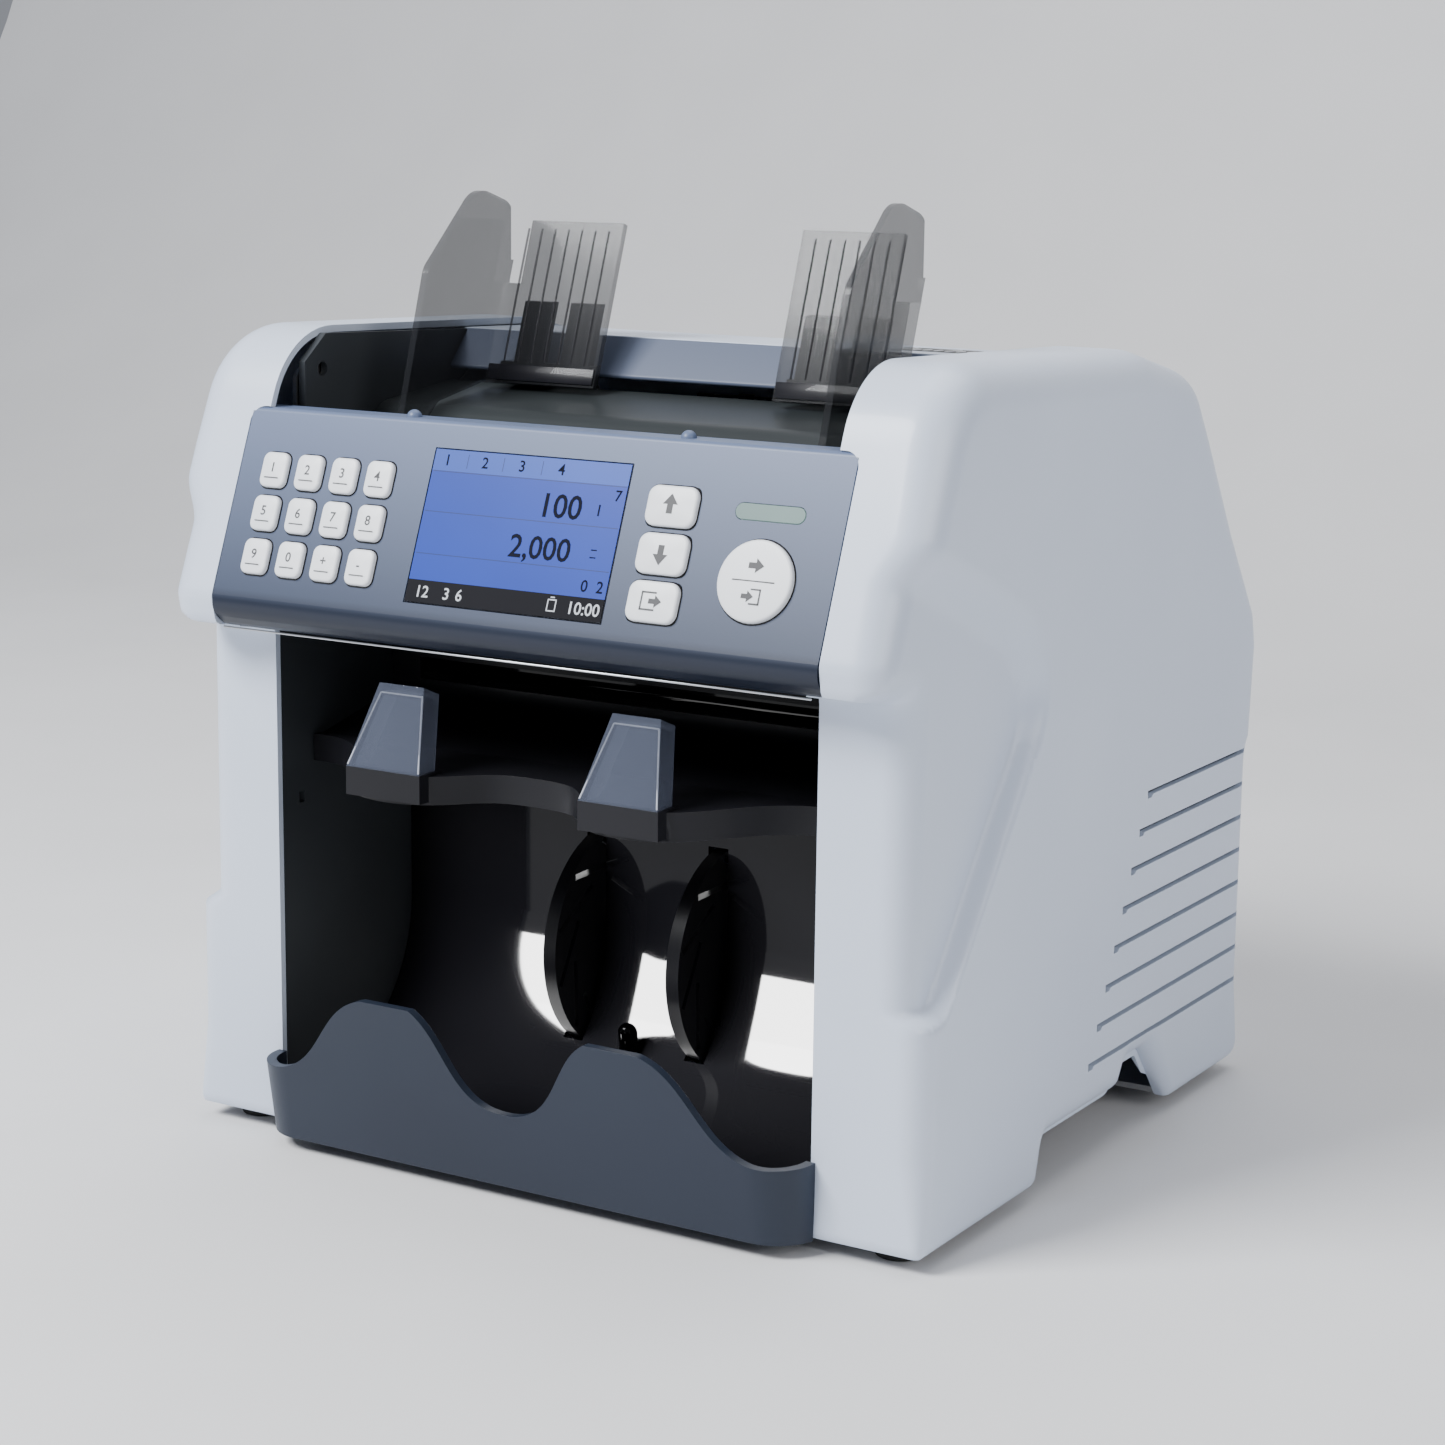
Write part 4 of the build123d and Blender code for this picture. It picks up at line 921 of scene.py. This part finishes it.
# %% Display
screen_blue = glow("screen_blue", (0.022, 0.065, 0.46), 1.0)
screen_head = glow("screen_head", (0.05, 0.12, 0.56), 1.0)
screen_rule = glow("screen_rule", (0.05, 0.08, 0.24), 0.5)
screen_ink = plastic("screen_ink", (0.003, 0.004, 0.012), (0.005, 0.006, 0.016), 0.7, specular=0.1)
screen_foot = plastic("screen_foot", (0.003, 0.003, 0.006), (0.005, 0.005, 0.008), 0.6, specular=0.12)
screen_light = glow("screen_light", (0.80, 0.84, 0.92), 0.8)
SCREEN = (0.0, 34.8)
SCREEN_HALF = (37.7, 25.4)
GLASS_LIFT = 0.12
HEAD_LINE, FOOT_LINE = 7.0, 7.4
half_x, half_y = SCREEN_HALF
field_low, field_high = -half_y + FOOT_LINE, half_y - HEAD_LINE
for name, low, high, paint in (
    ("screen_field", field_low, field_high, screen_blue),
    ("screen_head", field_high, half_y, screen_head),
    ("screen_foot", -half_y, field_low, screen_foot),
):
    panel_mark(name, [bar(-half_x, low, half_x, high)], SCREEN, GLASS_LIFT, paint)
rules = [bar(-half_x + 0.5, y, half_x - 0.5, y + 0.25) for y in (18.0, 4.6, -9.4)]
rules += [bar(x, 19.6, x + 0.25, 24.2) for x in (-24.6, -10.6, 4.4)]
panel_mark("screen_rules", rules, SCREEN, GLASS_LIFT + 0.03, screen_rule)
ink = [
    moved(text_points("100", 11.0, "RIGHT"), 22.6, 6.4),
    moved(text_points("2,000", 10.6, "RIGHT"), 21.6, -7.4),
    moved(text_points("1", 5.2), -32.4, 20.2),
    moved(text_points("2", 5.2), -17.6, 20.2),
    moved(text_points("3", 5.2), -3.2, 20.2),
    moved(text_points("4", 5.2), 12.0, 20.2),
    moved(text_points("7", 5.0, "RIGHT"), 36.2, 13.4),
    moved(text_points("1", 5.2, "RIGHT"), 30.2, 8.2),
    moved(text_points("2", 5.4, "RIGHT"), 36.4, -16.2),
    moved(text_points("0", 5.4, "RIGHT"), 30.6, -16.2),
    bar(29.0, -3.0, 31.2, -2.6),
    bar(29.0, -5.4, 31.2, -5.0),
]
panel_mark("screen_digits", ink, SCREEN, GLASS_LIFT + 0.04, screen_ink)
light = [
    moved(text_points("12", 5.4), -31.6, -23.6),
    moved(text_points("3", 5.4), -22.0, -23.6),
    moved(text_points("6", 5.4), -17.0, -23.6),
    moved(text_points("10:00", 5.6, "RIGHT"), 36.8, -23.6),
    bracket(18.6, -21.6, 3.4, 4.0, 0.4, 1),
    bar(19.9, -23.6, 20.3, -19.6),
    bar(17.8, -19.2, 19.4, -18.8),
]
panel_mark("screen_figures", light, SCREEN, GLASS_LIFT + 0.04, screen_light)
shown = [bpy.data.objects[name] for name in ("screen_digits", "screen_figures")]
print("display marks", sum(len(piece.data.polygons) for piece in shown))

# %% [markdown]
# Softened copies
# ---------------
# A CAD edge is perfectly sharp, but a moulded edge always has a small radius, and that radius is what
# catches the light. Where the CAD shape is right but its edges show, a copy with a fine bevel stands for
# it. The copy is welded first, because the CAD mesh is made of loose triangles.

# %% Parts with softened edges
SOFTENED = {
    "stacker_lip": (0.9, lip_blue, "chassis", "lip_blue"),
    "hopper_rear_wall": (0.5, wall_blue, "chassis", "lip_blue"),
    "reject_bar": (0.7, satin_black, "chassis", "gloss_black"),
    "top_strip": (0.7, cover_white, "chassis", "white_cover"),
    "rear_door": (0.8, cover_white, "door", "white_cover"),
    "rear_panel": (0.5, cover_white, "chassis", "white_cover"),
    "guide_left": (0.6, guide_smoke, "left_guide", "smoke_clear"),
    "guide_right": (0.6, guide_smoke, "right_guide", "smoke_clear"),
    "reject_windows": (1.1, window_smoke, "chassis", "smoke_clear"),
}
for node, (size, finish, body, slot) in SOFTENED.items():
    copy = soft_copy(node, size, segments=3)
    finish_piece(copy, finish, body=body, stands_for=[node])
    print(node, "faces before the bevel", len(copy.data.polygons))

# %% [markdown]
# Note guides
# -----------
# The smoked guides carry seven fine ribs up their back sheet, which stop a note from clinging, and a dark
# foot where they are glued to the carriage. The ribs follow the lean of the sheet: each is a thin ridge
# whose height fades out at both ends, so it is a sine of the way along it.

# %% Ribs and foot bands on the guides
guide_low, guide_high = box_mm("guide_right")
SHEET_FOOT = np.array([-33.5, 259.0])
SHEET_TOP = np.array([-14.3, 315.0])
sheet_run = SHEET_TOP - SHEET_FOOT
sheet_up = sheet_run / np.linalg.norm(sheet_run)
sheet_front = np.array([-sheet_up[1], sheet_up[0]])


def rib_points(across, width=0.9, height=0.45, start=0.13, stop=0.95):
    """A ridge on the leaning sheet: section a half sine, height faded by sin(pi s)^0.2 along it."""
    along = np.linspace(0, 1, 25)[:, None]
    turn = np.linspace(0, math.pi, 7)[None, :]
    fade = np.sin(np.pi * np.clip(along, 0.004, 0.996)) ** 0.2
    x = across - 0.5 * width * np.cos(turn) + 0 * along
    lift = height * fade * np.sin(turn) - 0.05
    foot = SHEET_FOOT + (start + (stop - start) * along)[..., None] * sheet_run
    yz = foot + lift[..., None] * sheet_front
    return np.concatenate([x[..., None], yz], axis=-1)


def band_points(across_low, across_high, low_share, high_share, lift=0.35):
    """A thin plate on the front of the leaning sheet."""
    x = np.array([across_low, across_high])[None, :] + np.zeros((2, 1))
    foot = SHEET_FOOT + np.array([low_share, high_share])[:, None] * sheet_run + lift * sheet_front
    return np.stack([x, np.repeat(foot[:, :1], 2, 1), np.repeat(foot[:, 1:], 2, 1)], axis=-1)


rib_smoke = smoked("rib_smoke", (0.008, 0.008, 0.012), roughness=0.3, alpha=0.8, specular=0.2)
for side, name in ((1, "right"), (-1, "left")):
    mirror = np.array([side, 1, 1])
    for number, across in enumerate(np.linspace(guide_low[0] + 5.5, guide_high[0] - 8.5, 7)):
        rib = grid_object(f"guide_{name}_rib_{number + 1}", rib_points(across) * mirror, flip=side < 0)
        finish_piece(rib, rib_smoke, body=f"{name}_guide")
    sheet = band_points(guide_low[0] + 0.6, guide_high[0] - 2.6, 0.015, 0.11) * mirror
    band = grid_object(f"guide_{name}_foot", sheet)
    thicken(band, 0.5, 0.0)
    bevel(band, 0.15)
    finish_piece(band, rib_smoke, body=f"{name}_guide")
print("guide ribs", 14)

# %% [markdown]
# Control panel nose
# ------------------
# Along the lower edge of the panel runs a fine bright line, a painted highlight where light catches the
# edge of the moulding. It is a thin rod carried along the nose.

# %% Painted highlight line under the panel
def rod_between(name, start, end, radius, material, body="chassis", sides=10):
    """A round rod from one point to another, with closed ends: radius times a circle at each station."""
    start, end = np.asarray(start, float), np.asarray(end, float)
    way = (end - start) / np.linalg.norm(end - start)
    helper = np.array([0, 0, 1.0]) if abs(way[2]) < 0.9 else np.array([1.0, 0, 0])
    first = np.cross(way, helper)
    first = first / np.linalg.norm(first)
    second = np.cross(way, first)
    turn = np.linspace(0, 2 * math.pi, sides, endpoint=False)
    ring = np.cos(turn)[:, None] * first + np.sin(turn)[:, None] * second
    sizes = np.array([0.0, 0.75, 1.0, 1.0, 0.75, 0.0]) * radius
    places = np.array([0.0, 0.0, 0.25 * radius, -0.25 * radius, 0.0, 0.0])
    anchors = np.array([start, start, start, end, end, end]) + places[:, None] * way
    points = anchors[:, None, :] + sizes[:, None, None] * ring[None]
    rod = grid_object(name, points, closed=True)
    weld(rod, 0.001)
    return finish_piece(rod, material, body=body)


# The rod's pale metal is a painted highlight: it stands for light caught on the lower edge of the panel.
nose_highlight_silver = metal("nose_highlight_silver", (0.55, 0.57, 0.60), (0.65, 0.67, 0.70), 0.3)
nose_y, nose_z = panel_low[1] + 2.2, panel_low[2] + 0.35
nose_start, nose_end = [(side * (PANEL_HALF - 3), nose_y, nose_z) for side in (-1, 1)]
rod_between("panel_nose_line", nose_start, nose_end, 0.35, nose_highlight_silver)

# %% [markdown]
# Small things in the pocket and the hopper
# -----------------------------------------
# A pocket sensor stands between the wheels and tells the machine that notes lie there. On the floor is a
# tiny bright reflector for its light. Two nubs on the front rim of the hopper keep the guides apart from
# the panel, and the top strip carries a small recessed scale for the thickness adjuster.

# %% Sensor, reflector, nubs and scale
SENSOR_FOOT = (0, -62.0, 20.0)
REFLECTOR_FOOT = (94, -112.0, 13.6)
NUB_ACROSS, NUB_BEHIND, NUB_ROOT = 53.0, 5.0, 2.4
STRIP_Z, STRIP_RISE = 274.0, 1.5


def pin_points(centre, radius, height, lean=0.12):
    """A round-headed pin: a straight stem, then a quarter circle, the whole leaning forward a little."""
    turn = np.linspace(0, 2 * math.pi, 20, endpoint=False)
    dome = np.linspace(0, math.pi / 2, 7)
    sizes = np.concatenate([[0.0, radius, radius], radius * np.cos(dome)[1:]])
    heights = np.concatenate([[0.0, 0.0, height - radius], height - radius + radius * np.sin(dome)[1:]])
    x = centre[0] + sizes[:, None] * np.cos(turn)
    y = centre[1] + sizes[:, None] * np.sin(turn) - lean * heights[:, None]
    z = centre[2] + heights[:, None] + 0 * x
    return np.stack([x, y, z], axis=-1)


pin = grid_object("pocket_sensor", pin_points(SENSOR_FOOT, 3.4, 24.0), closed=True)
weld(pin, 0.001)
finish_piece(pin, gloss_black)
reflector_points = pin_points(REFLECTOR_FOOT, 1.0, 1.2, 0.0)
reflector = grid_object("pocket_reflector", reflector_points, closed=True)
weld(reflector, 0.001)
finish_piece(reflector, key_white)
for side, name in ((-1, "left"), (1, "right")):
    root = (side * NUB_ACROSS, PANEL_TOP[1] + NUB_BEHIND, PANEL_TOP[2] - NUB_ROOT)
    nub = grid_object("rim_nub_" + name, pin_points(root, 2.6, 4.8, 0.0), closed=True)
    weld(nub, 0.001)
    finish_piece(nub, panel_paint)


def strip_patch(name, x0, x1, y0, y1, lift, material):
    """A thin plate let into the top strip, following its slope."""
    share = (strip_high[1] - np.array([y0, y1])) / (strip_high[1] - strip_low[1])
    z = STRIP_Z + STRIP_RISE * share + lift
    x = np.array([[x0, x1], [x0, x1]])
    y = np.array([[y0, y0], [y1, y1]])
    plate = grid_object(name, np.stack([x, y, np.repeat(z[:, None], 2, 1)], axis=-1))
    thicken(plate, 0.4)
    bevel(plate, 0.12)
    return finish_piece(plate, material)


strip_patch("adjuster_well", 58.0, 100.0, 4.0, 24.0, 0.08, satin_black)
for number, across in enumerate(np.linspace(62.0, 96.0, 9)):
    end = 20.0 if number % 4 == 0 else 14.0
    name = f"adjuster_mark_{number + 1}"
    strip_patch(name, across, across + 0.9, 8.0, end, 0.3, key_white)

# %% [markdown]
# Bright edges of the stoppers
# ----------------------------
# A clear plastic stopper gathers light at its edges, so the edges look bright while the faces stay dark.
# Each
# edge is a painted highlight: a fine pale rod along the CAD stopper, which leans back as it rises.

# %% Painted highlights on the edges of the note stoppers
window_low, window_high = box_mm("reject_windows")
# Pale smoked plastic for the rods, as a painted highlight along the stopper edges.
stopper_edge_highlight = smoked("stopper_edge_highlight", (0.55, 0.58, 0.66), alpha=0.85)
STOPPER_X, STOPPER_FOOT, STOPPER_HEAD, STOPPER_LEAN = 45.8, 14.4, 8.4, 10.6
front = window_low[1] + 0.25
for side, name in ((-1, "left"), (1, "right")):
    middle = side * STOPPER_X
    corners = [
        (middle - STOPPER_FOOT, front, window_low[2] + 0.6),
        (middle - STOPPER_HEAD, front + STOPPER_LEAN, window_high[2] - 3.2),
        (middle + STOPPER_HEAD, front + STOPPER_LEAN, window_high[2] - 3.2),
        (middle + STOPPER_FOOT, front, window_low[2] + 0.6),
    ]
    for number in range(3):
        start, end = corners[number : number + 2]
        label = f"stopper_{name}_edge_{number + 1}"
        rod_between(label, start, end, 0.32, stopper_edge_highlight, sides=8)
print("stopper edges", 6)
